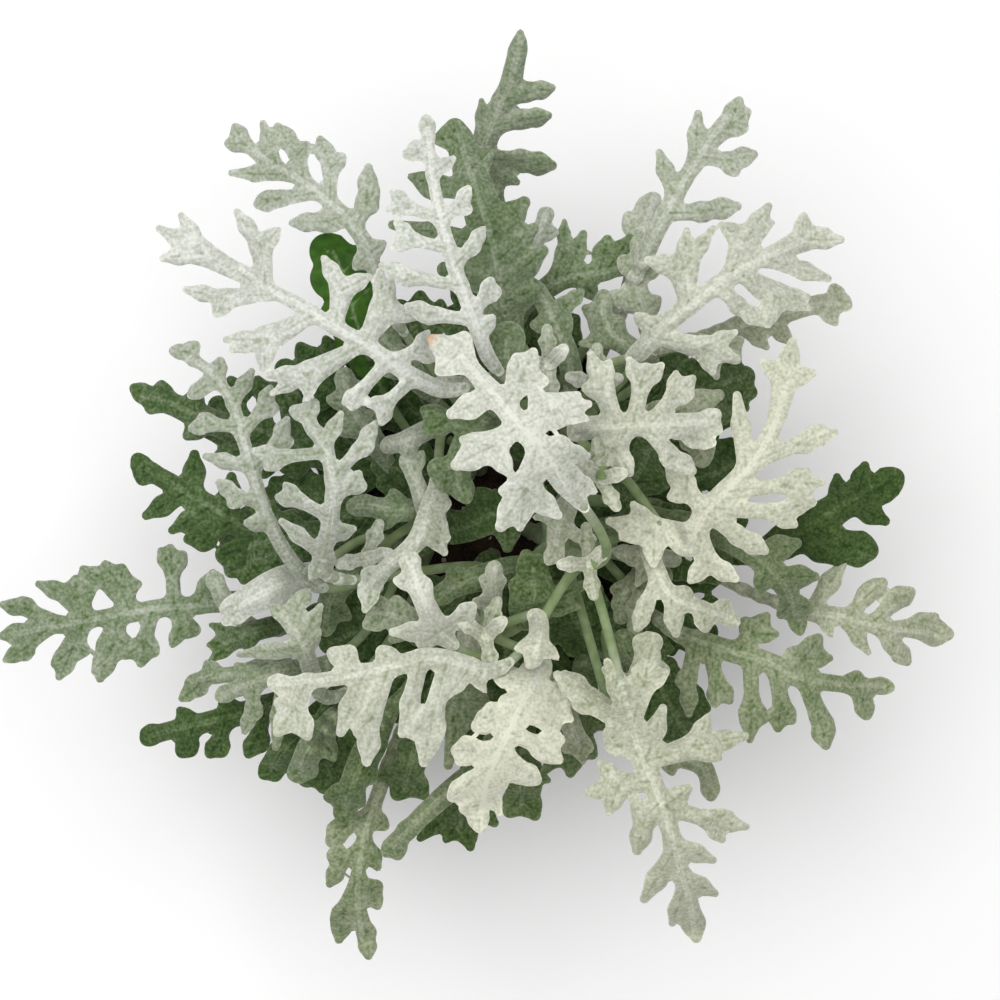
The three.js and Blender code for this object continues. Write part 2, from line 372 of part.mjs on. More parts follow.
// A blade as tapering strokes {from, to, r0, r1}: the web along the rib, and each lobe from a
// root on the rib, swept back from the lobe, to its tooth or by way of a fork to its teeth. A
// lobe that starts with a point of two numbers is rooted there.
function bladeStrokes(rib, web, lobes) {
  const lengths = lengthsAlong(rib);
  const whole = lengths[lengths.length - 1];
  const webAt = (i) => web * (1 - WEB_TAPER * (lengths[i] / whole) ** 2);
  const strokes = [];
  for (let i = 0; i < rib.length - 1; i++) {
    strokes.push({ from: rib[i], to: rib[i + 1], r0: webAt(i), r1: webAt(i + 1) });
  }
  for (const lobe of lobes) {
    const teeth = lobe.filter((point) => point.length === 3);
    const middle = [0, 1].map((k) => teeth.reduce((sum, tooth) => sum + tooth[k], 0) / teeth.length);
    const away = rib.map(([x, y]) => Math.hypot(x - middle[0], y - middle[1]));
    const reach = Math.min(...away);
    const nearest = away.indexOf(reach);
    const terminal = nearest === rib.length - 1;
    const rootLength = terminal
      ? Math.max(whole - TIP_SWEEP * reach, 0)
      : Math.max(lengths[nearest] - LOBE_SWEEP * reach, 0.02 * whole);
    const root = lobe[0].length === 2 ? lobe[0] : pointAtLength(rib, lengths, rootLength);
    if (teeth.length === 1) {
      const [u, v, end] = teeth[0];
      strokes.push({ from: root, to: [u, v], r0: Math.min(2.2, 0.9 * web), r1: end });
      continue;
    }
    const fork = [0, 1].map((k) => root[k] + 0.55 * (middle[k] - root[k]));
    const widest = Math.max(...teeth.map((tooth) => tooth[2]));
    strokes.push({ from: root, to: fork, r0: Math.min(2.4, web), r1: Math.min(2.6, widest + 0.3) });
    for (const [u, v, end] of teeth) {
      strokes.push({ from: fork, to: [u, v], r0: Math.min(2.2, end), r1: end });
    }
  }
  return strokes;
}

// Adds a stroke to the field on a grid: the field is the distance outside the strokes (negative
// inside), with rounded joins between them.
function drawStroke({ x0, y0, columns, rows, values }, { from, to, r0, r1 }) {
  const dx = to[0] - from[0];
  const dy = to[1] - from[1];
  const square = dx * dx + dy * dy + 1e-9;
  const room = Math.max(r0, r1) + FIELD_REACH;
  const first = (low, start) => Math.max(Math.floor((low - room - start) / OUTLINE_CELL), 0);
  const last = (high, start, count) => Math.min(Math.ceil((high + room - start) / OUTLINE_CELL), count - 1);
  const iFirst = first(Math.min(from[0], to[0]), x0);
  const iLast = last(Math.max(from[0], to[0]), x0, columns);
  const jFirst = first(Math.min(from[1], to[1]), y0);
  const jLast = last(Math.max(from[1], to[1]), y0, rows);
  for (let j = jFirst; j <= jLast; j++) {
    const y = y0 + j * OUTLINE_CELL - from[1];
    for (let i = iFirst; i <= iLast; i++) {
      const x = x0 + i * OUTLINE_CELL - from[0];
      const t = clamp((x * dx + y * dy) / square, 0, 1);
      const d = Math.hypot(x - t * dx, y - t * dy) - (r0 + (r1 - r0) * t);
      const field = values[j * columns + i];
      if (field - d > JOIN_WIDTH) {
        values[j * columns + i] = d;
      } else if (d - field < JOIN_WIDTH) {
        const h = clamp(0.5 + (field - d) / (2 * JOIN_WIDTH), 0, 1);
        values[j * columns + i] = field * (1 - h) + d * h - JOIN_WIDTH * h * (1 - h);
      }
    }
  }
}

// The outer edge of the strokes: the zero line of the field on its grid, walked with the inside
// on its left. Two inside corners across a cell are kept apart.
function outlineOf({ x0, y0, columns, rows, values }) {
  const corner = (i, j) => [x0 + i * OUTLINE_CELL, y0 + j * OUTLINE_CELL, values[j * columns + i]];
  const crossing = (a, b) => {
    const t = Number.isFinite(b[2]) ? a[2] / (a[2] - b[2]) : 0.5;
    return [a[0] + (b[0] - a[0]) * t, a[1] + (b[1] - a[1]) * t];
  };
  const next = new Map();
  const points = new Map();
  for (let j = 0; j < rows - 1; j++) {
    for (let i = 0; i < columns - 1; i++) {
      const at = j * columns + i;
      const negative = (values[at] < 0) + (values[at + 1] < 0)
        + (values[at + columns] < 0) + (values[at + columns + 1] < 0);
      if (negative === 0 || negative === 4) continue;
      const corners = [corner(i, j), corner(i + 1, j), corner(i + 1, j + 1), corner(i, j + 1)];
      const inside = corners.map((c) => c[2] < 0);
      const sides = [2 * (j * columns + i), 2 * (j * columns + i + 1) + 1,
        2 * ((j + 1) * columns + i), 2 * (j * columns + i) + 1];
      for (let k = 0; k < 4; k++) {
        if (!inside[k] || inside[(k + 1) % 4]) continue;
        let back = (k + 3) % 4;
        while (inside[back]) back = (back + 3) % 4;
        points.set(sides[k], crossing(corners[k], corners[(k + 1) % 4]));
        points.set(sides[back], crossing(corners[back], corners[(back + 1) % 4]));
        next.set(sides[k], sides[back]);
      }
    }
  }
  let longest = [];
  while (next.size > 0) {
    const start = next.keys().next().value;
    const loop = [];
    let at = start;
    while (next.has(at)) {
      loop.push(points.get(at));
      const following = next.get(at);
      next.delete(at);
      at = following;
    }
    if (loop.length > longest.length) longest = loop;
  }
  return longest;
}

// A closed line with the points left out that lie within the tolerance of the line without them.
function simplified(loop) {
  const keep = new Uint8Array(loop.length);
  const far = Math.floor(loop.length / 2);
  keep[0] = 1;
  keep[far] = 1;
  const spans = [[0, far], [far, loop.length]];
  while (spans.length > 0) {
    const [a, b] = spans.pop();
    const [ax, ay] = loop[a];
    const [bx, by] = loop[b % loop.length];
    const square = (bx - ax) ** 2 + (by - ay) ** 2 || 1;
    let worst = OUTLINE_TOLERANCE;
    let at = -1;
    for (let i = a + 1; i < b; i++) {
      const x = loop[i][0] - ax;
      const y = loop[i][1] - ay;
      const t = clamp((x * (bx - ax) + y * (by - ay)) / square, 0, 1);
      const off = Math.hypot(x - t * (bx - ax), y - t * (by - ay));
      if (off > worst) {
        worst = off;
        at = i;
      }
    }
    if (at < 0) continue;
    keep[at] = 1;
    spans.push([a, at], [at, b]);
  }
  const kept = loop.filter((_, i) => keep[i]);
  return kept.filter(([x, y], i) => {
    const [px, py] = kept[(i + kept.length - 1) % kept.length];
    return Math.hypot(x - px, y - py) > SHORTEST_EDGE;
  });
}

// ---- leaf height ----

// Half the depth of a stalk measured upright, which grows with its slope.
function stalkDepth(slope) {
  return Math.min(STALK_RADIUS * Math.hypot(1, slope), STALK_DEPTH_MOST);
}

// The height at which a stalk would best leave its stem: the longer the stalk, the lower.
function naturalFootHeight(branch, base, bladeHeight) {
  let z = bladeHeight - 8;
  for (let round = 0; round < 4; round++) {
    const stem = stemPoint(branch, clamp(z, LOWEST_FOOT, BRANCHES[branch].top[2]));
    const [u, v] = planOf(stem.x, stem.y, stem.z);
    z = bladeHeight - 5 - 0.45 * Math.hypot(base[0] - u, base[1] - v);
  }
  return clamp(z, LOWEST_FOOT, BRANCHES[branch].top[2] - 2);
}

// Where a stalk meets its stem at height z, on the side that faces the blade or swung round from
// it: the end is moved out from the stem's middle line until all of it clears the surface.
function footOf(branch, base, direction, z, swing, bladeHeight, nudge) {
  const stem = stemPoint(branch, z);
  const [su, sv] = planOf(stem.x, stem.y, z);
  let along = [base[0] - su, base[1] - sv];
  let stretch = Math.hypot(...along);
  if (stretch < 6) {
    along = direction;
    stretch = 1;
  }
  const depth = stalkDepth(1.3 * (bladeHeight - z) / Math.hypot(base[0] - su, base[1] - sv));
  const [c, s] = [Math.cos(swing) / stretch, Math.sin(swing) / stretch];
  along = [along[0] * c - along[1] * s, along[0] * s + along[1] * c];
  const clears = (out) => {
    for (let k = 0; k < 8; k++) {
      const turn = k * Math.PI / 4;
      const u = su + along[0] * out + STALK_RADIUS * Math.cos(turn);
      const v = sv + along[1] * out + STALK_RADIUS * Math.sin(turn);
      for (const rise of [-depth, 0, depth]) {
        if (stemDistance(branch, onRay(u, v, z + rise)) < STEM_RADIUS + FOOT_GAP) return false;
      }
    }
    return true;
  };
  let out = STEM_RADIUS + STALK_RADIUS;
  while (!clears(out)) out += 0.1;
  out -= nudge;
  return { u: su + along[0] * out, v: sv + along[1] * out, z, along };
}

// The blade of a leaf by itself: its rib, and its field on a square grid that also has room for
// the stalk.
function bladeOf(row) {
  const [, branch, , web, , , ribPoints, lobes] = row;
  const rib = ribLine(ribPoints);
  const strokes = bladeStrokes(rib, web, lobes);
  const [u, v] = rib[0];
  const away = ({ top }) => Math.hypot(top[0] - u, top[1] - v);
  const others = Object.keys(BRANCHES)
    .filter((name) => name !== branch)
    .sort((a, b) => away(BRANCHES[a]) - away(BRANCHES[b]));
  const branches = [branch, ...others.slice(0, OTHER_BRANCHES)];
  const ends = strokes.flatMap((s) => [s.from, s.to]);
  for (const name of branches) {
    const low = stemPoint(name, SOIL_EDGE_HEIGHT);
    ends.push(planOf(low.x, low.y, low.z), BRANCHES[name].top);
  }
  const margin = 3 * OUTLINE_CELL + 6;
  const [x0, y0] = [0, 1].map((k) => Math.min(...ends.map((end) => end[k])) - margin);
  const [x1, y1] = [0, 1].map((k) => Math.max(...ends.map((end) => end[k])) + margin);
  const columns = Math.ceil((x1 - x0) / OUTLINE_CELL) + 1;
  const rows = Math.ceil((y1 - y0) / OUTLINE_CELL) + 1;
  const values = new Float64Array(columns * rows).fill(Infinity);
  const grid = { x0, y0, columns, rows, values };
  strokes.forEach((stroke) => drawStroke(grid, stroke));
  return { rib, grid, branches };
}

// The whole leaf at a given lift, foot height and swing: spine points {x, y, z, slope, blade}, and the
// field of stalk and blade.
function leafParts(row, blade, branch, lift, footHeight, swing, nudge) {
  const [, , [zBase, zMiddle, zTip]] = row;
  const { rib } = blade;
  const lengths = lengthsAlong(rib);
  const whole = lengths[RIB_STEPS];
  const base = rib[0];
  const towards = [rib[2][0] - base[0], rib[2][1] - base[1]];
  const size = Math.hypot(...towards);
  const direction = towards.map((part) => part / size);
  const foot = footOf(branch, base, direction, footHeight, swing, zBase + lift, nudge);
  const reach = Math.hypot(base[0] - foot.u, base[1] - foot.v);
  const stalkLine = new THREE.CubicBezierCurve(
    new THREE.Vector2(foot.u, foot.v),
    new THREE.Vector2(foot.u + 0.3 * reach * foot.along[0], foot.v + 0.3 * reach * foot.along[1]),
    new THREE.Vector2(base[0] - 0.35 * reach * direction[0], base[1] - 0.35 * reach * direction[1]),
    new THREE.Vector2(...base),
  );
  const rise = zBase + lift - foot.z;
  const startSlope = 1.3 * rise;
  const endSlope = clamp((4 * zMiddle - 3 * zBase - zTip) / whole, -0.3, 1) * reach;
  const spine = [];
  for (let i = 0; i < STALK_STEPS; i++) {
    const t = i / STALK_STEPS;
    const { x, y } = stalkLine.getPoint(t);
    const z = foot.z + startSlope * (t - 2 * t * t + t * t * t) + rise * (3 * t * t - 2 * t * t * t)
      + endSlope * (t * t * t - t * t);
    const slope = Math.abs(startSlope * (1 - 4 * t + 3 * t * t) + rise * 6 * (t - t * t)
      + endSlope * (3 * t * t - 2 * t)) / Math.max(reach, 1);
    spine.push({ x, y, z, slope, blade: 0 });
  }
  rib.forEach(([x, y], i) => {
    const s = lengths[i] / whole;
    const z = zBase * (1 - s) * (1 - 2 * s) + zMiddle * 4 * s * (1 - s) + zTip * s * (2 * s - 1);
    spine.push({ x, y, z: z + lift, slope: 0, blade: 1 });
  });
  const grid = { ...blade.grid, values: blade.grid.values.slice() };
  for (let i = 0; i < STALK_STEPS; i++) {
    const from = [spine[i].x, spine[i].y];
    const to = [spine[i + 1].x, spine[i + 1].y];
    drawStroke(grid, { from, to, r0: STALK_RADIUS, r1: STALK_RADIUS });
  }
  return { spine, grid };
}

// Middle height and half thickness of a leaf at a plan point: the heights of the spine weighted
// by nearness, plus the blade's fall to the side and its curl.
function leafHeight(spine, [slopeLeft, slopeRight], curl, x, y) {
  let weights = 0;
  let height = 0;
  let blade = 0;
  let slope = 0;
  let nearest = Infinity;
  let side = 1;
  for (let i = 0; i < spine.length; i++) {
    const point = spine[i];
    const away = (x - point.x) ** 2 + (y - point.y) ** 2;
    const weight = 1 / (away + 2) ** 3;
    weights += weight;
    height += weight * point.z;
    blade += weight * point.blade;
    slope += weight * point.slope;
    if (away >= nearest) continue;
    nearest = away;
    const a = spine[Math.max(i - 1, 0)];
    const b = spine[Math.min(i + 1, spine.length - 1)];
    side = Math.sign((b.x - a.x) * (y - point.y) - (b.y - a.y) * (x - point.x)) || 1;
  }
  const d = Math.sqrt(nearest);
  const share = blade / weights;
  const fall = (side > 0 ? slopeLeft : slopeRight) * d - curl * (d / CURL_WIDTH) ** 2;
  const stalkHalf = stalkDepth(slope / weights);
  return {
    middle: height / weights + share * fall,
    half: LEAF_THICKNESS / 2 * share + stalkHalf * (1 - share),
    share,
  };
}

// A leaf as an extruded outline whose upper and lower faces follow the leaf's height.
function makeLeaf(row, blade, branch, lift, footHeight, swing, nudge = 0) {
  const [, , , , slopes, curl] = row;
  const { spine, grid } = leafParts(row, blade, branch, lift, footHeight, swing, nudge);
  const outline = simplified(outlineOf(grid));
  const shape = new THREE.Shape(outline.map(([x, y]) => new THREE.Vector2(x, y)));
  const geometry = new THREE.ExtrudeGeometry(shape, { depth: 1, steps: 1, bevelEnabled: false });
  geometry.deleteAttribute('normal');
  geometry.deleteAttribute('uv');
  const merged = mergeVertices(geometry, 1e-4);
  const plan = merged.attributes.position.clone();
  const place = merged.attributes.position;
  const heights = new Map();
  const shares = new Float64Array(plan.count);
  for (let i = 0; i < plan.count; i++) {
    const u = plan.getX(i);
    const v = plan.getY(i);
    const key = `${u} ${v}`;
    if (!heights.has(key)) heights.set(key, leafHeight(spine, slopes, curl, u, v));
    const { middle, half, share } = heights.get(key);
    const upper = plan.getZ(i) > 0.5;
    const z = upper ? middle + half : middle - half;
    plan.setZ(i, z);
    shares[i] = share;
    const { x, y } = onRay(u, v, z);
    place.setXYZ(i, x, y, z);
  }
  return { geometry: merged, plan, shares, foot: spine[0], lift, footHeight };
}

// ---- stacking ----

const MAP_SIZE = Math.round(2 * MAP_HALF / MAP_CELL);
const mapLow = new Float64Array(MAP_SIZE * MAP_SIZE);
const mapHigh = new Float64Array(MAP_SIZE * MAP_SIZE);
const mapKind = new Uint8Array(MAP_SIZE * MAP_SIZE);
const STALK = 1;
const BLADE = 2;
const GROUND = 3;

// The lowest and highest level of a solid over each cell of the plan that it covers, and
// whether that part of it is stalk, blade or ground.
function levelsOf({ plan, shares, kind }, index) {
  const touched = [];
  const half = MAP_CELL / 2;
  const px = plan.array;
  for (let i = 0; i < index.count; i += 3) {
    const [ja, jb, jc] = [index.getX(i), index.getX(i + 1), index.getX(i + 2)];
    const [ax, ay, az] = [px[3 * ja], px[3 * ja + 1], px[3 * ja + 2]];
    const [bx, by, bz] = [px[3 * jb], px[3 * jb + 1], px[3 * jb + 2]];
    const [cx, cy, cz] = [px[3 * jc], px[3 * jc + 1], px[3 * jc + 2]];
    const area = (bx - ax) * (cy - ay) - (by - ay) * (cx - ax);
    if (Math.abs(area) < 1e-4) continue;
    const turn = Math.sign(area);
    const slopeX = ((bz - az) * (cy - ay) - (cz - az) * (by - ay)) / area;
    const slopeY = ((cz - az) * (bx - ax) - (bz - az) * (cx - ax)) / area;
    const spread = (Math.abs(slopeX) + Math.abs(slopeY)) * half;
    const low = Math.min(az, bz, cz);
    const high = Math.max(az, bz, cz);
    const part = kind || ((shares[ja] + shares[jb] + shares[jc]) / 3 > 0.6 ? BLADE : STALK);
    const edges = [[ax, ay, bx, by], [bx, by, cx, cy], [cx, cy, ax, ay]].map(([x, y, p, q]) => {
      const size = turn / (Math.hypot(p - x, q - y) || 1);
      return [-(q - y) * size, (p - x) * size, ((q - y) * x - (p - x) * y) * size];
    });
    const cellsFrom = (value) => Math.max(Math.floor((value - half + MAP_HALF) / MAP_CELL), 0);
    const cellsTo = (value) => Math.min(Math.floor((value + half + MAP_HALF) / MAP_CELL), MAP_SIZE - 1);
    const columnFrom = cellsFrom(Math.min(ax, bx, cx));
    const columnTo = cellsTo(Math.max(ax, bx, cx));
    const rowTo = cellsTo(Math.max(ay, by, cy));
    for (let row = cellsFrom(Math.min(ay, by, cy)); row <= rowTo; row++) {
      const y = (row + 0.5) * MAP_CELL - MAP_HALF;
      for (let column = columnFrom; column <= columnTo; column++) {
        const x = (column + 0.5) * MAP_CELL - MAP_HALF;
        if (edges.some(([p, q, r]) => p * x + q * y + r < -0.72 * MAP_CELL)) continue;
        const z = az + slopeX * (x - ax) + slopeY * (y - ay);
        const zLow = clamp(z - spread, low, high);
        const zHigh = clamp(z + spread, low, high);
        const cell = row * MAP_SIZE + column;
        if (mapKind[cell] === 0) {
          touched.push(cell);
          mapLow[cell] = zLow;
          mapHigh[cell] = zHigh;
          mapKind[cell] = part;
        } else {
          mapLow[cell] = Math.min(mapLow[cell], zLow);
          mapHigh[cell] = Math.max(mapHigh[cell], zHigh);
          mapKind[cell] = Math.max(mapKind[cell], part);
        }
      }
    }
  }
  const levels = touched.map((cell) => [cell, mapLow[cell], mapHigh[cell], mapKind[cell]]);
  touched.forEach((cell) => { mapKind[cell] = 0; });
  return levels;
}

const stacked = new Map();

function stack(levels, owner) {
  for (const [cell, low, high, kind] of levels) {
    if (!stacked.has(cell)) stacked.set(cell, []);
    stacked.get(cell).push([low, high, kind, owner]);
  }
}

// Blades lie over the blades and the ground below them; a stalk or stem may pass on either side.
function shortfall(levels) {
  let most = 0;
  for (const [cell, low, , kind] of levels) {
    for (const [, otherHigh, otherKind] of stacked.get(cell) || []) {
      if (otherKind === GROUND || (kind === BLADE && otherKind === BLADE)) {
        most = Math.max(most, otherHigh + AIR_GAP - low);
      }
    }
  }
  return most;
}

// The number of plan cells in which a leaf would meet what is already there.
function meetings(levels, branch, foot, most) {
  let count = 0;
  for (const [cell, low, high, kind] of levels) {
    const list = stacked.get(cell);
    if (!list) continue;
    for (const [otherLow, otherHigh, otherKind, owner] of list) {
      if (low > otherHigh + AIR_GAP) continue;
      const both = kind === BLADE && otherKind === BLADE;
      if (!both && otherKind !== GROUND && high < otherLow - AIR_GAP) continue;
      if (owner === branch) {
        const x = (cell % MAP_SIZE + 0.5) * MAP_CELL - MAP_HALF;
        const y = (Math.floor(cell / MAP_SIZE) + 0.5) * MAP_CELL - MAP_HALF;
        if (Math.hypot(x - foot.x, y - foot.y) < OWN_STEM_REACH) continue;
      }
      count += 1;
      if (count >= most) return count;
      break;
    }
  }
  return count;
}

// Near its foot a leaf is held against the stem's middle line instead, but for the stalk's end,
// which was set clear of the stem.
function touchesOwnStem(levels, branch, foot) {
  return levels.some(([cell, low, high]) => {
    const x = (cell % MAP_SIZE + 0.5) * MAP_CELL - MAP_HALF;
    const y = (Math.floor(cell / MAP_SIZE) + 0.5) * MAP_CELL - MAP_HALF;
    const away = Math.hypot(x - foot.x, y - foot.y);
    if (away > OWN_STEM_REACH || away < STALK_RADIUS + MAP_CELL / 2) return false;
    return [low, (low + high) / 2, high]
      .some((z) => stemDistance(branch, onRay(x, y, z)) < STEM_RADIUS + SEAT_GAP / 2);
  });
}

// The blade's field at the grid point nearest to a foot: a foot below the blade can't be shown.
function fieldAt({ x0, y0, columns, values }, { x, y }) {
  const column = Math.round((x - x0) / OUTLINE_CELL);
  const row = Math.round((y - y0) / OUTLINE_CELL);
  return values[row * columns + column];
}

// The gap between a leaf's foot and its stem.
function footGap(leaf, branch) {
  const { geometry: { attributes: { position } }, plan, foot } = leaf;
  let least = Infinity;
  for (let i = 0; i < position.count; i++) {
    if (Math.hypot(plan.getX(i) - foot.x, plan.getY(i) - foot.y) > OWN_STEM_REACH) continue;
    const point = new THREE.Vector3().fromBufferAttribute(position, i);
    least = Math.min(least, stemDistance(branch, point) - STEM_RADIUS);
  }
  return least;
}

// The same leaf with its foot moved up to its stem.
function seatedLeaf(terms, first, branch) {
  let leaf = first;
  let nudge = 0;
  for (let round = 0; round < 4; round++) {
    const gap = footGap(leaf, branch);
    if (gap < FOOT_GAP + 0.1) break;
    nudge += gap - FOOT_GAP;
    leaf = makeLeaf(...terms, nudge);
  }
  return leaf;
}

// The places for a leaf's foot in order of preference: no higher than it has to be, on its own
// stem or one close by, near the height that suits its stalk, and facing its blade.
function* placings(blade, bladeHeight) {
  for (let extra = 0; extra <= MOST_EXTRA; extra += EXTRA_STEP) {
    for (const branch of blade.branches) {
      const natural = naturalFootHeight(branch, blade.rib[0], bladeHeight + extra);
      for (const [offset, swing] of FOOT_CHOICES) {
        const footHeight = natural + offset;
        if (footHeight < LOWEST_FOOT || footHeight > BRANCHES[branch].top[2] - 2) continue;
        yield { extra, branch, footHeight, swing };
      }
    }
  }
}

// A leaf is raised until its blade clears those below, then in small steps, with its stalk
// leaving the stem higher, lower or further round, until all of it has room.
function settledLeaf(row) {
  const [, branch, [zBase]] = row;
  const blade = bladeOf(row);
  let start = 0;
  for (let round = 0; round < 3; round++) {
    const foot = naturalFootHeight(branch, blade.rib[0], zBase + start);
    const leaf = makeLeaf(row, blade, branch, start, foot, 0);
    const missing = shortfall(levelsOf(leaf, leaf.geometry.index).filter(([, , , kind]) => kind === BLADE));
    if (missing <= 0) break;
    start += missing + 0.02;
  }
  let best = null;
  const consider = (leaf, owner) => {
    const levels = levelsOf(leaf, leaf.geometry.index);
    if (touchesOwnStem(levels, owner, leaf.foot)) return false;
    const count = meetings(levels, owner, leaf.foot, best ? best.count + 1 : Infinity);
    if (!best || count < best.count) best = { ...leaf, levels, count };
    return count === 0;
  };
  for (const choice of placings(blade, zBase + start)) {
    const terms = [row, blade, choice.branch, start + choice.extra, choice.footHeight, choice.swing];
    const leaf = makeLeaf(...terms);
    if (fieldAt(blade.grid, leaf.foot) < STALK_RADIUS) continue;
    if (!consider(leaf, choice.branch)) continue;
    const seated = seatedLeaf(terms, leaf, choice.branch);
    if (seated === leaf) break;
    best.count = 1;
    if (consider(seated, choice.branch)) break;
  }
  stack(best.levels, row[0]);
  return best;
}

// ---- pot, soil and assembly ----

const wasm = await Module();
wasm.setup();

function solidOf(geometry) {
  const bare = new THREE.BufferGeometry();
  const flat = geometry.index ? geometry.toNonIndexed() : geometry;
  bare.setAttribute('position', flat.getAttribute('position'));
  const merged = mergeVertices(bare, 1e-4);
  return new wasm.Manifold(new wasm.Mesh({
    numProp: 3,
    vertProperties: new Float32Array(merged.attributes.position.array),
    triVerts: new Uint32Array(merged.index.array),
  }));
}

function geometryOf(solid) {
  const mesh = solid.getMesh();
  const geometry = new THREE.BufferGeometry();
  geometry.setAttribute('position', new THREE.BufferAttribute(mesh.vertProperties, 3));
  geometry.setIndex(new THREE.BufferAttribute(mesh.triVerts, 1));
  return geometry;
}

function turned(profile) {
  const points = profile.map(([r, z]) => new THREE.Vector2(r, z));
  return new THREE.LatheGeometry(points, ROUND_STEPS).rotateX(Math.PI / 2);
}

const shoulder = POT_HEIGHT - RIM_BAND;
const neckRadius = POT_RIM_RADIUS - RIM_STEP - 0.9;
const innerNeck = neckRadius - POT_WALL;
const innerBase = POT_BASE_RADIUS - POT_WALL;

function innerRadius(z) {
  return innerBase + (innerNeck - innerBase) * (z - POT_FLOOR) / (shoulder - POT_FLOOR);
}

function makePot() {
  let pot = solidOf(turned([
    [0, 0],
    [POT_BASE_RADIUS - 1, 0],
    [POT_BASE_RADIUS, 1],
    [neckRadius, shoulder - 1],
    [neckRadius + RIM_STEP, shoulder],
    [POT_RIM_RADIUS, POT_HEIGHT - 1],
    [POT_RIM_RADIUS - 0.6, POT_HEIGHT],
    [POT_RIM_RADIUS - 1.4, POT_HEIGHT],
    [POT_RIM_RADIUS - 2, POT_HEIGHT - 1],
    [innerNeck + RIM_STEP, shoulder + 1],
    [innerNeck, shoulder],
    [innerBase, POT_FLOOR],
    [0, POT_FLOOR],
  ]));
  for (let k = 0; k < DRAIN_HOLES; k++) {
    const turn = 2 * Math.PI * k / DRAIN_HOLES;
    const cutter = new THREE.CylinderGeometry(DRAIN_RADIUS, DRAIN_RADIUS, 3 * POT_FLOOR, 20);
    cutter.rotateX(Math.PI / 2);
    cutter.translate(DRAIN_CIRCLE * Math.cos(turn), DRAIN_CIRCLE * Math.sin(turn), POT_FLOOR / 2);
    pot = pot.subtract(solidOf(cutter));
  }
  return geometryOf(pot);
}

function makeSoil() {
  const low = POT_FLOOR + SEAT_GAP;
  let soil = solidOf(turned([
    [0, low],
    [innerRadius(low) - SEAT_GAP, low],
    [innerNeck - SEAT_GAP, shoulder],
    [innerNeck - 6, SOIL_EDGE_HEIGHT + 1],
    [innerNeck - 22, SOIL_EDGE_HEIGHT + 2.2],
    [0, SOIL_MIDDLE_HEIGHT],
  ]));
  const hole = STEM_RADIUS + SEAT_GAP;
  for (const branch of Object.keys(BRANCHES)) {
    const bottom = SOIL_EDGE_HEIGHT - STEM_ROOT_DEPTH - SEAT_GAP;
    soil = soil.subtract(solidOf(tube(branch, hole, bottom, SOIL_MIDDLE_HEIGHT + 8)));
  }
  return geometryOf(soil);
}

function addNode(group, name, geometry, color, roughness) {
  const flat = geometry.clone();
  flat.computeVertexNormals();
  const mesh = new THREE.Mesh(flat, new THREE.MeshStandardMaterial({ color, roughness, metalness: 0 }));
  mesh.name = name;
  group.add(mesh);
}

function planPositions(geometry) {
  const plan = geometry.attributes.position.clone();
  for (let i = 0; i < plan.count; i++) {
    const z = plan.getZ(i);
    const [u, v] = planOf(plan.getX(i), plan.getY(i), z);
    plan.setXYZ(i, u, v, z);
  }
  return plan;
}

const plant = new THREE.Group();
plant.name = 'dusty_miller';

const pot = makePot();
const soil = makeSoil();
addNode(plant, 'nursery_pot', pot, '#17181a', 0.55);
addNode(plant, 'potting_soil', soil, '#3a2c22', 0.95);
stack(levelsOf({ plan: planPositions(pot), kind: GROUND }, pot.index), 'nursery_pot');
stack(levelsOf({ plan: planPositions(soil), kind: GROUND }, soil.index), 'potting_soil');

for (const [branch, { top }] of Object.entries(BRANCHES)) {
  const bare = tube(branch, STEM_RADIUS, SOIL_EDGE_HEIGHT - STEM_ROOT_DEPTH, top[2]);
  bare.deleteAttribute('normal');
  bare.deleteAttribute('uv');
  const stem = mergeVertices(bare, 1e-4);
  addNode(plant, `stem_${branch}`, stem, '#93a37c', 0.8);
  stack(levelsOf({ plan: planPositions(stem), kind: STALK }, stem.index), branch);
}

for (const row of LEAVES) {
  const { geometry } = settledLeaf(row);
  addNode(plant, row[0], geometry, GREEN.clone().lerp(SILVER, 0.7), 0.9);
}

export default plant;
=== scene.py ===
# %% [markdown]
# # Dusty miller in a nursery pot
# A silver-leaved bedding plant about 26 cm across: felted, deeply cut leaves on leaning
# stems, in a black 10.5 cm pot. Each leaf is one grown piece, made here as a thin closed
# sheet with a round stalk that runs on under the blade as its midrib.

# %% frame
import math
from collections import namedtuple

import bpy
import numpy as np
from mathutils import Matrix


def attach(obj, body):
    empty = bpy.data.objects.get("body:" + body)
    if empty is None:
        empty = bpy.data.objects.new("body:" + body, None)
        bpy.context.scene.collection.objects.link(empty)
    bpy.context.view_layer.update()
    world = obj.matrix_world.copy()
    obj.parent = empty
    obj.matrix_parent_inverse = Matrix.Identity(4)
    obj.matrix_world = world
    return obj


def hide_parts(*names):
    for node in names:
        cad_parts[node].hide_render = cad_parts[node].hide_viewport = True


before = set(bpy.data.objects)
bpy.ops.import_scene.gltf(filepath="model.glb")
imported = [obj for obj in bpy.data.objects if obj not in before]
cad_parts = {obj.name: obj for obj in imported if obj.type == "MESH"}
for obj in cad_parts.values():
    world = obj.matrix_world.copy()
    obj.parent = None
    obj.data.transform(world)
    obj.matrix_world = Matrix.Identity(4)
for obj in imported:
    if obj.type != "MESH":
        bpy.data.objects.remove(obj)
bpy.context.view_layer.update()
random = np.random.default_rng(7)

# %% [markdown]
# ## Plan coordinates
# The leaves are laid out on a plan. A plan point (u, v) is where an eye straight above the pot,
# 900 mm up, sees the point against the level 160 mm; both numbers are in millimetres. Drawing
# what the eye sees is easier than drawing each leaf at its true size, because higher leaves look
# larger. The height is added later, and the point then moves along its line of sight.

# %% plan coordinates
EYE_HEIGHT = 900.0
PLAN_HEIGHT = 160.0
MM = 0.001


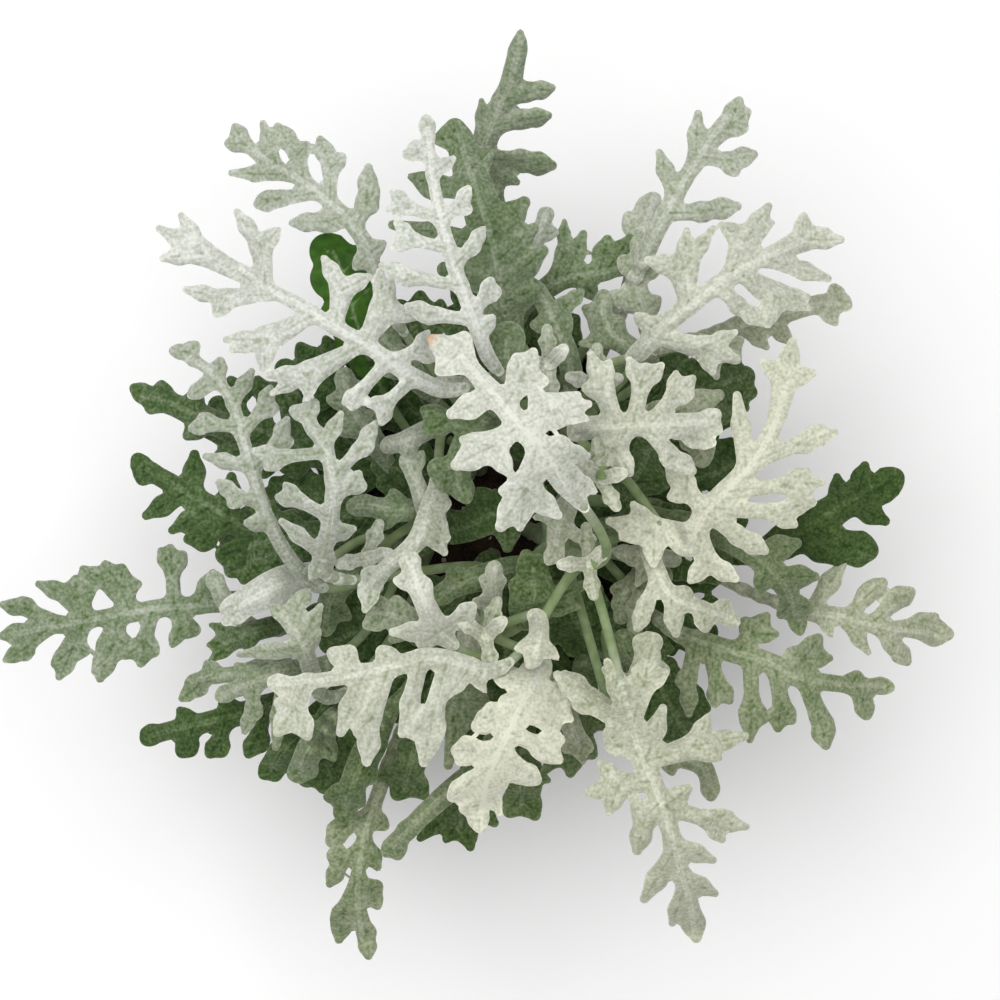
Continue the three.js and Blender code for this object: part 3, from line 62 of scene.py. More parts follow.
def on_ray(u, v, z):
    """The point at height z on the line from the eye through plan point (u, v), in metres."""
    scale = (EYE_HEIGHT - z) / (EYE_HEIGHT - PLAN_HEIGHT)
    return np.stack([u * scale, v * scale, z], axis=-1) * MM


def plan_of(points):
    """Plan points and heights (u, v, z) of points in metres: the inverse of on_ray."""
    points = np.asarray(points, float) / MM
    scale = (EYE_HEIGHT - PLAN_HEIGHT) / (EYE_HEIGHT - points[..., 2])
    return np.stack([points[..., 0] * scale, points[..., 1] * scale, points[..., 2]], axis=-1)


print("plan point (100, 0) at 200 mm up lies at", on_ray(100.0, 0.0, 200.0), "m")

# %% [markdown]
# ## Meshes
# Every piece is worked out as whole arrays and handed to Blender at once. Stems, stalks, pot and
# soil are all rings of points one after another, closed by a pole at each end, so they share
# one function for their faces. A curve with a bevel would be quicker to write for the stalks,
# but a tube made here can carry values on its points, which the finishes read.

# %% meshes from arrays
SHARP_ANGLE = math.radians(75)
STEEP = 0.9


def vertices_of(node):
    """The vertices of a CAD node in metres."""
    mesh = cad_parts[node].data
    flat = np.empty(3 * len(mesh.vertices))
    mesh.vertices.foreach_get("co", flat)
    return flat.reshape(-1, 3)


def make_object(name, points, faces, attributes=None):
    """A smooth-shaded mesh object at the origin, from metres, faces and vertex attributes."""
    mesh = bpy.data.meshes.new(name)
    mesh.from_pydata(np.asarray(points).tolist(), [], faces)
    for key, values in (attributes or {}).items():
        layer = mesh.attributes.new(key, "FLOAT", "POINT")
        layer.data.foreach_set("value", np.asarray(values, np.float32))
    mesh.polygons.foreach_set("use_smooth", np.ones(len(mesh.polygons), bool))
    mesh.update()
    mesh.set_sharp_from_angle(angle=SHARP_ANGLE)
    made = bpy.data.objects.new(name, mesh)
    bpy.context.scene.collection.objects.link(made)
    return made


def ring_faces(count, sides):
    """Faces over count rings of points and the two poles that follow them: quads from each ring
    to the next, then a fan of triangles round each pole."""
    i, j = np.meshgrid(np.arange(count - 1), np.arange(sides), indexing="ij")
    a = (i * sides + j).ravel()
    b = (i * sides + (j + 1) % sides).ravel()
    k = np.arange(sides)
    after = (k + 1) % sides
    top = (count - 1) * sides
    pole = np.full(sides, count * sides)
    quads = np.stack([a, b, b + sides, a + sides], axis=1)
    first_fan = np.stack([pole, after, k], axis=1)
    last_fan = np.stack([pole + 1, top + k, top + after], axis=1)
    return quads.tolist() + first_fan.tolist() + last_fan.tolist()


def ring_values(values, sides):
    """One value a ring, repeated for its points, and the end values once more for the poles."""
    return np.concatenate([np.repeat(values, sides), values[[0, -1]]])


def tube(path, radii, sides):
    """A closed tube round a path. A ring point is the path point, plus the radius times the
    cosine of its turn along one direction square to the path and its sine along the other."""
    path = np.asarray(path, float)
    along = np.gradient(path, axis=0)
    along /= np.linalg.norm(along, axis=1, keepdims=True)
    reference = np.array([0.0, 0.0, 1.0]) if abs(along[0, 2]) < STEEP else np.array([1.0, 0.0, 0.0])
    across = np.empty_like(path)
    for i, direction in enumerate(along):
        reference = reference - direction * reference.dot(direction)
        reference /= np.linalg.norm(reference)
        across[i] = reference
    other = np.cross(along, across)
    turn = np.arange(sides) * 2 * np.pi / sides
    ring = across[:, None] * np.cos(turn)[None, :, None] + other[:, None] * np.sin(turn)[None, :, None]
    points = path[:, None] + ring * np.asarray(radii)[:, None, None]
    points = np.vstack([points.reshape(-1, 3), path[0], path[-1]])
    return points, ring_faces(len(path), sides)


print("a tube of 3 rings of 8 points has", len(ring_faces(3, 8)), "faces")

# %% [markdown]
# ## The leaves' plan
# Each row: name, tone (0 white to 1 green), branch, heights [blade base, middle, tip], half width
# of the web beside the rib, slopes of the blade to the left and right of the rib, curl, the rib's
# plan points, and its lobes. A lobe is a list of teeth, each [u, v, half width of its end]. Where
# a lobe leaves the rib at a set place, that root [u, v] stands before its teeth.

# %% leaf plan
LEAVES = [
    ["leaf_west_long", 0.55, "west", [112, 124, 112], 2.5, [-0.06, -0.06], 1,
     [[-71, -24.5], [-75.5, -25], [-85, -26], [-92, -26.5], [-101, -28], [-109.5, -29.5], [-118, -31],
      [-126, -32.5], [-131.5, -33.5]],
     [[[-125.5, -32.5], [-134.5, -34, 2.2]], [[-118, -31], [-134.5, -25.5, 1.8], [-129, -24.5, 1.8]],
      [[-111.5, -29.5], [-124.5, -20, 2], [-114.5, -18.5, 1.9], [-110, -22, 1.7]],
      [[-99.5, -28], [-112.5, -16, 2.2], [-106.5, -14.5, 2], [-102, -15.5, 1.9], [-97.5, -20, 1.7]],
      [[-88, -26], [-91.5, -11, 1.9], [-89, -10, 1.8], [-85.5, -12, 1.9]],
      [[-81.5, -25.5], [-77.5, -17, 2.1]], [[-123, -32.5], [-133.5, -40.5, 1.7], [-128, -39.5, 1.7]],
      [[-112.5, -30.5], [-119, -45, 2.1], [-120.5, -41.5, 1.7], [-111.5, -38, 1.7]],
      [[-103, -29], [-108, -45.5, 2.3], [-109.5, -43.5, 1.6], [-100.5, -35, 1.7]],
      [[-94, -27.5], [-97, -41.5, 2.1], [-101, -39.5, 1.7], [-93, -38.5, 1.8]],
      [[-87.5, -26.5], [-88.5, -36.5, 1.5], [-82, -32.5, 2.1]]]],
    ["leaf_southwest_bright", 0.9, "south", [98, 108, 96], 3.0, [-0.08, -0.08], 1.0,
     [[-60, -52], [-70, -55], [-80, -57.5], [-89, -59.5], [-94.5, -61]],
     [[[-95.5, -62, 1.8], [-94, -59.5, 1.8]], [[-86.5, -54, 1.8]],
     [[-86, -65.5, 2.2], [-83.5, -65, 2]], [[-78.5, -66, 2], [-75, -65.5, 2]],
     [[-68, -66, 2.2], [-64, -64, 2]], [[-75, -51.5, 2]]]],
    ["leaf_southwest_thin", 0.5, "west", [112, 118, 108], 1.8, [-0.08, -0.08], 1.0,
     [[-62, -41], [-70, -44], [-78, -45], [-83, -46.5]],
     [[[-84, -47, 1.4]], [[-86, -51, 1.5], [-80, -48.5, 1.5]], [[-79, -41.5, 1.8]]]],
    ["leaf_west_dark", 0.88, "west", [112, 124, 116], 3.4, [-0.08, -0.08], 1.0,
     [[-58.5, -11], [-68.5, -5], [-78.5, 1], [-88.5, 7], [-95.5, 11]],
     [[[-98, 14, 2.2], [-96.5, 8, 2]], [[-95.5, -1.5, 2.4]], [[-88.5, -5.5, 2.2]],
     [[-80.5, -9.5, 2.6], [-84.5, -8, 2]], [[-72.5, -14, 2.6], [-75.5, -12, 2]], [[-63.5, -13, 2.4]],
     [[-82.5, 15, 2.6]], [[-72.5, 9, 2.6]]]],
    ["leaf_northwest_dark", 0.8, "northwest", [112, 122, 114], 3.4, [-0.08, -0.08], 1.0,
     [[-70.5, 21], [-80.5, 25], [-89.5, 29], [-96.5, 31]],
     [[[-99, 33, 2]], [[-91.5, 34, 2]], [[-94.5, 27, 1.8]], [[-84.5, 20, 2.4]], [[-82.5, 33, 2]]]],
    ["leaf_southwest_low", 0.92, "south", [104, 116, 106], 3.8, [-0.08, -0.08], 1.0,
     [[-52, -58], [-58, -64], [-62, -70]],
     [[[-64, -71.5, 2]], [[-60.5, -72, 2]], [[-57, -69.5, 2]]]],
    ["leaf_south_west_green", 0.65, "south", [114, 126, 112], 3.6, [-0.08, -0.08], 1.0,
     [[-48, -60], [-52, -66], [-54, -71]],
     [[[-56, -71.5, 2]], [[-50.5, -71, 2]], [[-45, -67, 2]], [[-54, -72, 1.8]]]],
    ["leaf_bottom_shadow", 0.8, "south", [108, 116, 106], 4.4, [-0.08, -0.08], 1.0,
     [[-22, -60], [-24, -68], [-26, -75]],
     [[[-28, -77, 2.4]], [[-20.5, -77, 2.6]], [[-32, -72, 2.2]]]],
    ["leaf_bottom_dark", 0.7, "south", [116, 126, 114], 4.0, [-0.08, -0.08], 1.0,
     [[-34, -62], [-38, -70], [-41, -78], [-42, -82]],
     [[[-42, -82.5, 2.2]], [[-46.5, -77.5, 2.4]], [[-37.5, -79, 2]], [[-34, -73, 2]]]],
    ["leaf_bottom_green", 0.85, "south", [104, 112, 100], 4.4, [-0.08, -0.08], 1.0,
     [[-6, -70], [-9, -78], [-11, -86]],
     [[[-21.5, -88.5, 2.2]], [[-14.5, -89, 2]], [[-8, -91, 2.4]], [[-1.5, -84.5, 2.4]]]],
    ["leaf_bottom_mid", 0.75, "south", [106, 114, 104], 5.0, [-0.08, -0.08], 1.0,
     [[6, -66], [6, -74], [6, -79]],
     [[[2.5, -81.5, 3]], [[9.5, -82.5, 2.8]], [[9, -75, 3]], [[13, -73, 1.6]]]],
    ["leaf_bottom_folded", 0.55, "south", [112, 120, 108], 2.6, [-0.3, -0.3], 1.0,
     [[-9, -72], [-16, -78], [-23, -84.5], [-29, -91]],
     [[[-31, -92.5, 2]], [[-27.5, -93.5, 1.8]], [[-26, -86, 1.8]]]],
    ["leaf_bottom_thin", 0.5, "south", [100, 112, 92], 1.8, [-0.08, -0.08], 1,
     [[-30, -68], [-32.5, -75.5], [-35, -82.5], [-37, -90], [-38, -96.5], [-38.5, -103], [-38, -109.5],
      [-37, -116]],
     [[[-37.5, -108.5], [-35.5, -120.5, 2], [-35, -114, 1.6]],
      [[-38.5, -99], [-43.5, -116, 2.3], [-44.5, -110.5, 1.9]],
      [[-37, -90.5], [-46, -101, 2], [-45.5, -93, 2]],
      [[-34, -81], [-46, -89.5, 2.3], [-45.5, -86, 1.9]], [[-34.5, -82.5], [-31, -85.5, 1.9]],
      [[-36.5, -89], [-33, -96.5, 2.1]], [[-38, -99.5], [-33, -107, 1.8], [-33, -101.5, 1.8]]]],
    ["leaf_south_olive", 0.72, "centre", [122, 130, 122], 5.0, [-0.08, -0.08], 1.0,
     [[22, -50], [21, -58], [19, -66]],
     [[[28, -58, 3]], [[25, -66, 2.6]], [[19, -71, 2.6]], [[12, -70.5, 2.2]]]],
    ["leaf_east_green", 0.92, "east", [116, 124, 116], 5.0, [-0.06, -0.06], 1.2,
     [[76, -9], [84, -4], [92, 1], [100, 6]],
     [[[107, 9, 3.6], [104, 4.5, 3]], [[98.5, 12, 2.4]], [[104, -3, 2.6]],
     [[100, -11, 4], [97, -14, 2.4]], [[91, -14, 2.4]], [[91, 9, 2]]]],
    ["leaf_southeast_thin", 0.3, "east", [116, 124, 110], 2.1, [-0.06, -0.06], 1,
     [[80, -26.5], [85.5, -28], [91.5, -28.5], [96, -30], [101, -31], [106, -32], [111, -32.5],
      [117.5, -33.5]],
     [[[112, -32.5], [121, -33.5, 3.2]], [[108, -32], [117.5, -28.5, 1.8]],
      [[84, -27], [92.5, -14.5, 2.4]], [[94, -29], [103.5, -19.5, 2.3], [99, -21, 1.6]],
      [[100.5, -30.5], [111, -22, 2.3], [107.5, -22, 1.8]], [[86.5, -28], [89.5, -34, 1.2]],
      [[93, -29.5], [99.5, -38.5, 1.6]], [[102, -31.5], [110, -41, 2.2], [106, -36.5, 1.9]]]],
    ["leaf_southeast_grey", 0.5, "centre", [126, 129, 108], 2.8, [-0.06, -0.06], 1.0,
     [[52, -35], [62, -38], [72, -41], [80, -45], [92, -47], [104, -47.5]],
     [[[105.5, -48, 1.5]], [[66, -30, 2], [72, -28.5, 2], [74.5, -33.5, 1.8]],
     [[78, -38.5, 2], [86, -34.5, 2.4], [89, -40, 2]], [[96.5, -44.5, 1.8]],
     [[99, -55.5, 2.2], [98.5, -51, 1.8]], [[88, -63.5, 2.6], [89, -59.5, 2]],
     [[75, -59, 2.2], [79, -57, 1.8]], [[67.5, -62, 2], [71, -57, 1.8], [66, -57, 2]],
     [[58, -52.5, 2], [62, -51.5, 2]], [[48.5, -46.5, 1.8], [51, -55, 2]]]],
    ["leaf_southeast_curl", 0.45, "centre", [130, 136, 124], 2.4, [-0.08, -0.08], 1.0,
     [[44, -66], [50, -67], [55, -69.5], [57, -75]],
     [[[57, -77.5, 2]], [[46.5, -71, 1.6]]]],
    ["leaf_northwest_green", 0.95, "northwest", [128, 134, 126], 7.5, [-0.05, -0.05], 1.5,
     [[-37, 45], [-40, 55], [-43, 65], [-45, 70]],
     [[[-48, 71, 4.5]], [[-48, 63, 5]], [[-46, 53, 4.5]], [[-38, 69, 4]], [[-34, 61, 4]]]],
    ["leaf_northwest_pale", 0.3, "northwest", [138, 146, 132], 2, [-0.1, -0.1], 1,
     [[-31.5, 58.5], [-35, 68], [-37, 73], [-41.5, 79], [-47.5, 84.5], [-53.5, 89], [-60, 92.5], [-66, 96.5]],
     [[[-63, 94.5], [-73.5, 99, 1.8], [-71.5, 103.5, 1.9]], [[-60.5, 93], [-64, 104.5, 1.8]],
      [[-52.5, 88], [-60, 103.5, 2.3], [-52, 98.5, 1.6]],
      [[-46, 83], [-48.5, 100, 2.2], [-42.5, 95.5, 1.8]],
      [[-39, 76.5], [-35.5, 92.5, 2.2], [-33.5, 86.5, 1.6], [-34, 81.5, 1.5]],
      [[-56.5, 90.5], [-72.5, 91, 1.8]], [[-50, 85.5], [-65.5, 82.5, 2.2], [-64.5, 84, 1.6]],
      [[-42, 79.5], [-56, 77.5, 2.1], [-44, 76.5, 1.5]],
      [[-36, 70.5], [-39, 65.5, 1.7], [-31.5, 72, 1.6]]]],
    ["leaf_northeast_grey", 0.3, "northeast", [140, 147, 138], 2.8, [-0.1, -0.1], 1.0,
     [[63, 49], [73, 52], [83, 55], [92, 56]],
     [[[90, 60, 1.8], [94, 55, 1.6]], [[90.5, 50.5, 1.8]], [[79, 45, 1.8]], [[72, 44, 1.8]]]],
    ["leaf_northeast_pale", 0.28, "northeast", [140, 150, 140], 2.3, [-0.1, -0.1], 1,
     [[38.5, 67], [41.5, 74], [45, 80.5], [48.5, 87], [52.5, 93.5], [56.5, 99.5], [61, 106]],
     [[[55, 97.5], [64.5, 110.5, 2.4], [67, 107.5, 1.8], [66, 103, 1.8]],
      [[52.5, 93], [53.5, 107, 2.1]], [[54, 95.5], [68.5, 96, 2.3], [63.5, 91, 1.8]],
      [[47, 85], [43, 96.5, 2]], [[44.5, 80], [64, 82, 2.5], [55.5, 80, 2.2]]]],
    ["leaf_northeast_small", 0.25, "northeast", [150, 156, 148], 2.6, [-0.1, -0.1], 1.0,
     [[51, 45], [57, 44], [63, 43]],
     [[[65, 46, 1.8]], [[64, 40.5, 1.8]], [[58.5, 36, 1.8]]]],
    ["leaf_north_upright", 0.5, "north", [128, 150, 166], 3.2, [-0.1, -0.1], 1,
     [[-2, 86.5], [-3.5, 92.5], [-4.5, 97.5], [-2.5, 103], [0, 109], [2.5, 114.5], [4, 120.5], [5.5, 126.5]],
     [[[3.5, 116.5], [5.5, 129, 1.7]], [[0.5, 110.5], [14, 114, 2.1], [7.5, 113.5, 2.2]],
      [[-2, 103.5], [13, 106.5, 2.2], [6.5, 106, 2.2]], [[-4.5, 100], [-5, 110.5, 1.5]],
      [[-3.5, 95], [14, 93, 2.7], [6.5, 94.5, 2.6]], [[-3, 92.5], [4.5, 88.5, 1.9]]]],
    ["leaf_north_broad", 0.62, "north", [150, 160, 150], 6.5, [-0.1, -0.1], 1.0,
     [[1, 55], [-1, 67], [-4, 79], [-8, 91], [-11, 101]],
     [[[-12, 104, 2.6], [-17, 100, 2]], [[-3, 97, 2.6]], [[6.5, 83, 3.4]], [[9, 76, 3]],
     [[11.5, 70, 3.2]], [[9, 59.5, 3.5]], [[-20, 87, 3], [-24, 90, 2]], [[-29, 77, 2.5]],
     [[-15, 65, 4]]]],
    ["leaf_east_mid", 0.8, "east", [140, 146, 138], 5.0, [-0.05, -0.05], 1.0,
     [[34, 4], [38, 11], [41, 18]],
     [[[40.5, 18, 3.4]], [[46, 8, 3]], [[32, 10, 2.6]]]],
    ["leaf_southeast_low", 0.6, "centre", [118, 126, 118], 3.0, [-0.05, -0.05], 1.0,
     [[26, -6], [33, -4], [40, 1]],
     [[[43, 2, 1.6]], [[36, 6, 2]], [[40, -4, 1.8]], [[30, -12, 2.6]]]],
    # leaf_centre_dark lies in the shadow under the centre leaf: its dark tone of 0.85 is painted shade
    ["leaf_centre_dark", 0.85, "centre", [134, 140, 132], 5.5, [-0.05, -0.05], 1.0,
     [[8, 4], [0, 0], [-8, -4], [-14, -6]],
     [[[-8, 4, 3.5]], [[2, -10, 3]], [[-14, -2, 3]]]],
    ["leaf_centre_teal", 0.7, "south", [136, 142, 136], 3.6, [-0.05, -0.05], 1.0,
     [[4, -16], [-4, -18], [-11, -20], [-16, -23]],
     [[[-13.5, -16.5, 2]], [[-17, -24, 2]]]],
    ["leaf_inner_teal", 0.6, "west", [138, 142, 136], 2.8, [-0.08, -0.08], 1.0,
     [[-20, 0], [-28, 0], [-35, 1], [-39, 1]],
     [[[-40, 1, 1.8]], [[-29, 5, 1.8]], [[-36.5, 3, 1.4]], [[-32.5, -5, 1.8]]]],
    ["leaf_west_flat", 0.08, "west", [120, 131, 126], 5.0, [0.05, -0.1], 1.5,
     [[-55, -19], [-61, -21], [-67, -24], [-71, -26.5]],
     [[[-74, -30, 2.6]], [[-74.5, -26.5, 2.2]]]],
    ["leaf_west_olive", 0.7, "west", [128, 128, 114], 3.6, [-0.1, -0.1], 1.0,
     [[-34, -14], [-42, -19], [-46, -25], [-47, -31]],
     [[[-52, -19.5, 1.8]], [[-41, -29, 2]], [[-47, -33, 1.8]]]],
    ["leaf_southwest_green", 0.5, "west", [124, 134, 122], 2.6, [-0.08, -0.08], 1.0,
     [[-53, -43], [-60, -44], [-67, -46.5], [-75, -50]],
     [[[-75.5, -50.5, 1.4]], [[-71, -42, 1.8]], [[-69, -60, 1.6], [-65.5, -55, 1.8]],
     [[-60.5, -64, 2.2]]]],
    ["leaf_south_left", 0.5, "south", [134, 142, 134], 4.0, [-0.08, -0.08], 1.0,
     [[-8, -42], [-11, -48], [-13, -54]],
     [[[-16.5, -55.5, 2]], [[-13, -59, 2.2]], [[-8, -58, 2.4]], [[-3, -54.5, 2.4]], [[-14, -69, 2.4]]]],
    ["leaf_southwest_mid", 0.45, "south", [146, 150, 142], 3.4, [-0.06, -0.06], 1.0,
     [[-20, -31], [-27, -29], [-33, -27.5]],
     [[[-35.5, -24, 2.4]], [[-28, -24, 2]], [[-36, -31, 2.4]], [[-29, -35, 2.2]]]],
    ["leaf_west_fern", 0.32, "west", [128, 152, 140], 1.9, [-0.08, -0.08], 1.0,
     [[-52.5, -18.5], [-58.5, -10.5], [-63.5, -0.5], [-66.5, 9.5], [-69.5, 19.5], [-72.5, 29.5],
      [-78.5, 37.5], [-84.5, 41.5]],
     [[[-88.5, 43, 1.6], [-82, 44.5, 1.6]], [[-75.5, 40.5, 1.8]],
     [[-83.5, 31, 1.8], [-79.5, 34.5, 1.4]], [[-83.5, 22, 1.8], [-80.5, 25.5, 1.4]],
     [[-79.5, 14.5, 1.8]], [[-76, 7.5, 1.8], [-72.5, 1.5, 1.6]], [[-68.5, -3.5, 1.8]],
     [[-67, 37.5, 1.8]], [[-62, 33, 1.8], [-60.5, 27.5, 1.6]],
     [[-57.5, 24.5, 1.8], [-56.5, 18.5, 1.6]]]],
    ["leaf_southwest_fern", 0.35, "west", [130, 150, 148], 2.0, [-0.1, -0.1], 1.0,
     [[-50, -47], [-52, -40], [-55, -33], [-59, -27.5]],
     [[[-61.5, -26, 1.5]], [[-56, -25, 1.5], [-52, -22, 1.8]], [[-48.5, -26, 1.8]], [[-49, -33, 1.6]],
     [[-65.5, -38.5, 1.6]], [[-70.5, -39, 1.6]]]],
    ["leaf_west_arching", 0.26, "west", [142, 164, 158], 2.0, [-0.12, -0.12], 1.0,
     [[-48, -13], [-46, -4], [-45, 6], [-47, 16], [-52, 24]],
     [[[-56, 27, 1.8], [-50, 29, 1.8]], [[-66.5, 16, 1.8], [-63, 11.5, 1.8]],
     [[-60, 3.5, 1.8], [-58, 7, 1.4]], [[-59, -3, 1.8]], [[-43, 26, 1.8]],
     [[-33.5, 23.5, 1.8], [-35, 17.5, 1.8]], [[-37, 6.5, 1.8], [-38, 10, 1.4]], [[-39.5, -5, 1.8]],
     [[-51, -18.5, 1.6]], [[-45, -14, 1.4]]]],
    ["leaf_inner_grey", 0.22, "west", [150, 160, 148], 2.4, [-0.08, -0.08], 1.0,
     [[-18, 3], [-20, -3], [-23, -9], [-30, -15], [-36, -21]],
     [[[-37, -23, 2]], [[-14.5, 1.5, 1.8], [-17, 3.5, 1.6]], [[-15.5, -3.5, 1.8]], [[-14, -7.5, 1.6]],
     [[-15, -11.5, 2]], [[-36.5, -17, 1.8]], [[-36.5, -27, 1.8]]]],
    ["leaf_east_drooping", 0.62, "east", [140, 150, 124], 3.4, [-0.2, -0.2], 1.0,
     [[56, -5], [64, -9], [71, -14], [77, -21], [80.5, -30]],
     [[[81, -33, 1.8]], [[75.5, -28.5, 1.6]], [[84, -26.5, 2]], [[85, -18, 2.6]], [[80, -9, 3]],
     [[70, -22, 2]]]],
    ["leaf_east_curled", 0.4, "northeast", [148, 154, 148], 3.4, [-0.1, -0.1], 1.0,
     [[46, 26], [52, 21], [55, 15]],
     [[[54.5, 13, 2.4]], [[50, 17.5, 2]], [[59, 31, 3.2]], [[57, 17, 1.6]]]],
    ["leaf_east_inner", 0.16, "centre", [150, 156, 146], 2.2, [-0.06, -0.06], 1.0,
     [[40, -9], [42, -16], [46, -23], [54, -26.5], [62, -29]],
     [[[64, -30.5, 1.6]], [[50, -22.5, 2.6]], [[61.5, -25, 1.8]], [[37, -32, 2], [38.5, -27, 1.8]],
     [[47.5, -33.5, 2.2]], [[55.5, -32, 2.2]]]],
    ["leaf_centre_green", 0.72, "south", [148, 153, 149], 6.0, [-0.05, -0.1], 1.0,
     [[8, -27], [9, -22], [9, -16]],
     [[[7, -12, 2.8]], [[10.5, -13, 2]], [[23, -20, 2.2]], [[21, -26, 2]], [[3.5, -20, 2.4]]]],
    ["leaf_centre_pale", 0.3, "centre", [160, 165, 159], 2.6, [-0.08, -0.08], 1.0,
     [[18, 1], [16, -4], [15, -9]],
     [[[24, -9.5, 1.3]], [[16, -13, 1.6], [13, -14, 1.6]], [[9.5, -2, 1.5]]]],
    ["leaf_southwest_silver", 0.08, "south", [156, 168, 166], 2.6, [-0.06, -0.06], 1.0,
     [[-16, -33], [-19, -28], [-22, -21], [-24.5, -14]],
     [[[-24.5, -12.5, 2.4]], [[-28, -19, 1.8]], [[-20, -20, 2.2]], [[-7.5, -26, 2.2], [-9, -30, 1.6]],
     [[-29, -33, 2.2]], [[-21.5, -36.5, 1.8]]]],
    ["leaf_southwest_big", 0.15, "south", [152, 162, 150], 2.6, [-0.12, 0.0], 1.0,
     [[-7, -43], [-13, -41], [-20, -40], [-30, -42.5], [-45, -45.5], [-60, -47]],
     [[[-61.5, -46.5, 2]], [[-45.5, -38.5, 2.2], [-40.5, -38, 2.2]], [[-32, -38, 2.6]],
     [[-60, -60, 2.6], [-52, -61, 2.6], [-60, -52, 2]], [[-43, -60, 2.6]],
     [[-36, -68, 2.6], [-38.5, -60, 2.2]], [[-26.5, -60.5, 2.2]],
     [[-20.5, -68, 2.8], [-16, -61, 1.8], [-24, -61, 1.8]], [[-14, -50, 1.8]], [[-4, -49, 1.3]]]],
    ["leaf_southeast_inner", 0.2, "centre", [152, 150, 148], 2.8, [-0.08, -0.08], 1.0,
     [[35, -57], [36, -50], [38, -43], [39.5, -37]],
     [[[37.5, -35.5, 2.2], [42, -35.5, 2.6]], [[28.5, -43, 2.2]],
     [[17.5, -44.5, 2.6], [15.5, -46.5, 2], [21.5, -53, 2.2]], [[44.5, -43.5, 2.2], [41.5, -42, 2]]]],
    ["leaf_south_big", 0.18, "centre", [158, 171, 132], 2.7, [-0.06, -0.06], 1,
     [[35, -56], [37.5, -65], [41, -73], [44, -80.5], [46.5, -88.5], [48.5, -96.5], [51, -105],
      [52.5, -113.5]],
     [[[51, -106], [53, -115.5, 2.8]], [[49.5, -103], [46.5, -111.5, 2]],
      [[35.5, -58.5], [41.5, -34.5, 2.5], [44.5, -44, 2.1], [36.5, -43, 1.8]],
      [[35, -57.5], [29, -41, 2.2]], [[36, -59.5], [15.5, -44.5, 2.4], [20.5, -52.5, 2]],
      [[38, -66.5], [29, -60, 2.2], [30, -64, 2]],
      [[39, -68], [56, -56, 2], [66, -61, 2.3], [59, -67, 1.9]], [[39.5, -67], [44, -53.5, 2.3]],
      [[41, -73], [27, -68, 1.9], [23.5, -76.5, 2], [29.5, -81.5, 2]],
      [[44, -80], [66.5, -85.5, 1.9], [60, -89, 1.9], [62, -82, 1.6]], [[44.5, -80], [51, -75, 2.1]],
      [[43.5, -78.5], [36.5, -79, 2], [37, -92, 2.5]], [[46.5, -90], [57.5, -94.5, 2.1]],
      [[47, -92], [39, -105, 2.5]], [[48.5, -98.5], [58, -103.5, 2.1]]]],
    ["leaf_south_white", 0, "south", [160, 172, 156], 3, [-0.08, -0.08], 1,
     [[11, -43], [8.5, -48], [5.5, -53], [3, -58.5], [0.5, -63.5], [-2, -69], [-4, -75], [-5, -81]],
     [[[-4, -74.5], [-5.5, -86, 2.4], [-10, -80.5, 1.9]], [[-3.5, -73.5], [0, -82, 1.5]],
      [[-2, -69], [-13, -77.5, 2.6], [-9.5, -74.5, 1.9]],
      [[0, -64.5], [-12, -65, 2.4], [-11, -68, 1.9], [-9.5, -62, 1.7]],
      [[2.5, -59], [-6.5, -58.5, 2.3], [-2.5, -53, 2.1], [-5, -55.5, 1.7]],
      [[5.5, -52.5], [1, -51.5, 2.3]], [[8, -48.5], [-0.5, -44.5, 2.5], [2, -43.5, 1.9]],
      [[9.5, -45.5], [7, -42, 1.9]], [[7, -51], [18.5, -51, 2.3], [14.5, -47.5, 1.8], [19, -56.5, 1.9]],
      [[5, -55], [16.5, -56, 2.3], [15, -59, 1.9]],
      [[2.5, -60], [16.5, -62, 2.3], [16, -67.5, 2.3], [11.5, -66.5, 1.9]],
      [[0.5, -64.5], [10, -73, 2.5], [4.5, -72.5, 2]], [[-1.5, -69], [1, -74.5, 2]]]],
    ["leaf_centre_back", 0.66, "north", [156, 164, 158], 4.2, [-0.06, -0.06], 1.0,
     [[-1, 27], [-7, 21], [-11, 13], [-11, 6]],
     [[[-20.5, 27, 2.4], [-19.5, 21.5, 2.8]], [[-17.5, 11.5, 3], [-15, 6, 2.4]], [[-9, 3, 2.6]]]],
    ["leaf_centre_top", 0.68, "north", [157, 164, 162], 4.2, [-0.05, -0.05], 1.0,
     [[0, 29], [1.5, 37], [2, 46]],
     [[[2, 46.5, 4.4]]]],
    ["leaf_northwest_big", 0.1, "northwest", [163, 176, 162], 2.2, [-0.06, -0.06], 1,
     [[-17.5, 33], [-26, 37.5], [-36, 44.5], [-46.5, 50.5], [-54.5, 55.5], [-63, 60], [-70, 65]],
     [[[-65, 61], [-86, 79.5, 1.9], [-92, 76, 1.9], [-91, 68, 2]],
      [[-63, 59], [-71, 80.5, 1.9], [-60, 75.5, 1.9]],
      [[-62, 58.5], [-85, 59.5, 1.8], [-76.5, 53, 1.9]],
      [[-50.5, 52.5], [-74, 46, 1.8], [-72.5, 43, 1.4], [-64, 38, 1.9]],
      [[-44.5, 49.5], [-47.5, 68, 1.9], [-35.5, 63, 1.9]],
      [[-37, 44.5], [-32.5, 64.5, 1.8], [-29, 62.5, 1.3], [-22, 52, 1.8]],
      [[-38.5, 44], [-62.5, 36.5, 1.8], [-61.5, 31.5, 1.5], [-52, 30, 1.5]],
      [[-31, 39.5], [-42, 29, 1.7], [-40, 27.5, 1.5]], [[-30, 40], [-19.5, 48, 1.5], [-17.5, 41, 1.8]],
      [[-24, 35], [-35.5, 28.5, 1.5], [-32, 23.5, 1.7]]]],
    ["leaf_north_fern", 0.1, "north", [172, 182, 168], 1.9, [-0.1, -0.1], 1.0,
     [[-4, 43], [-8, 54], [-12, 65], [-15, 75], [-18, 89], [-19.5, 103]],
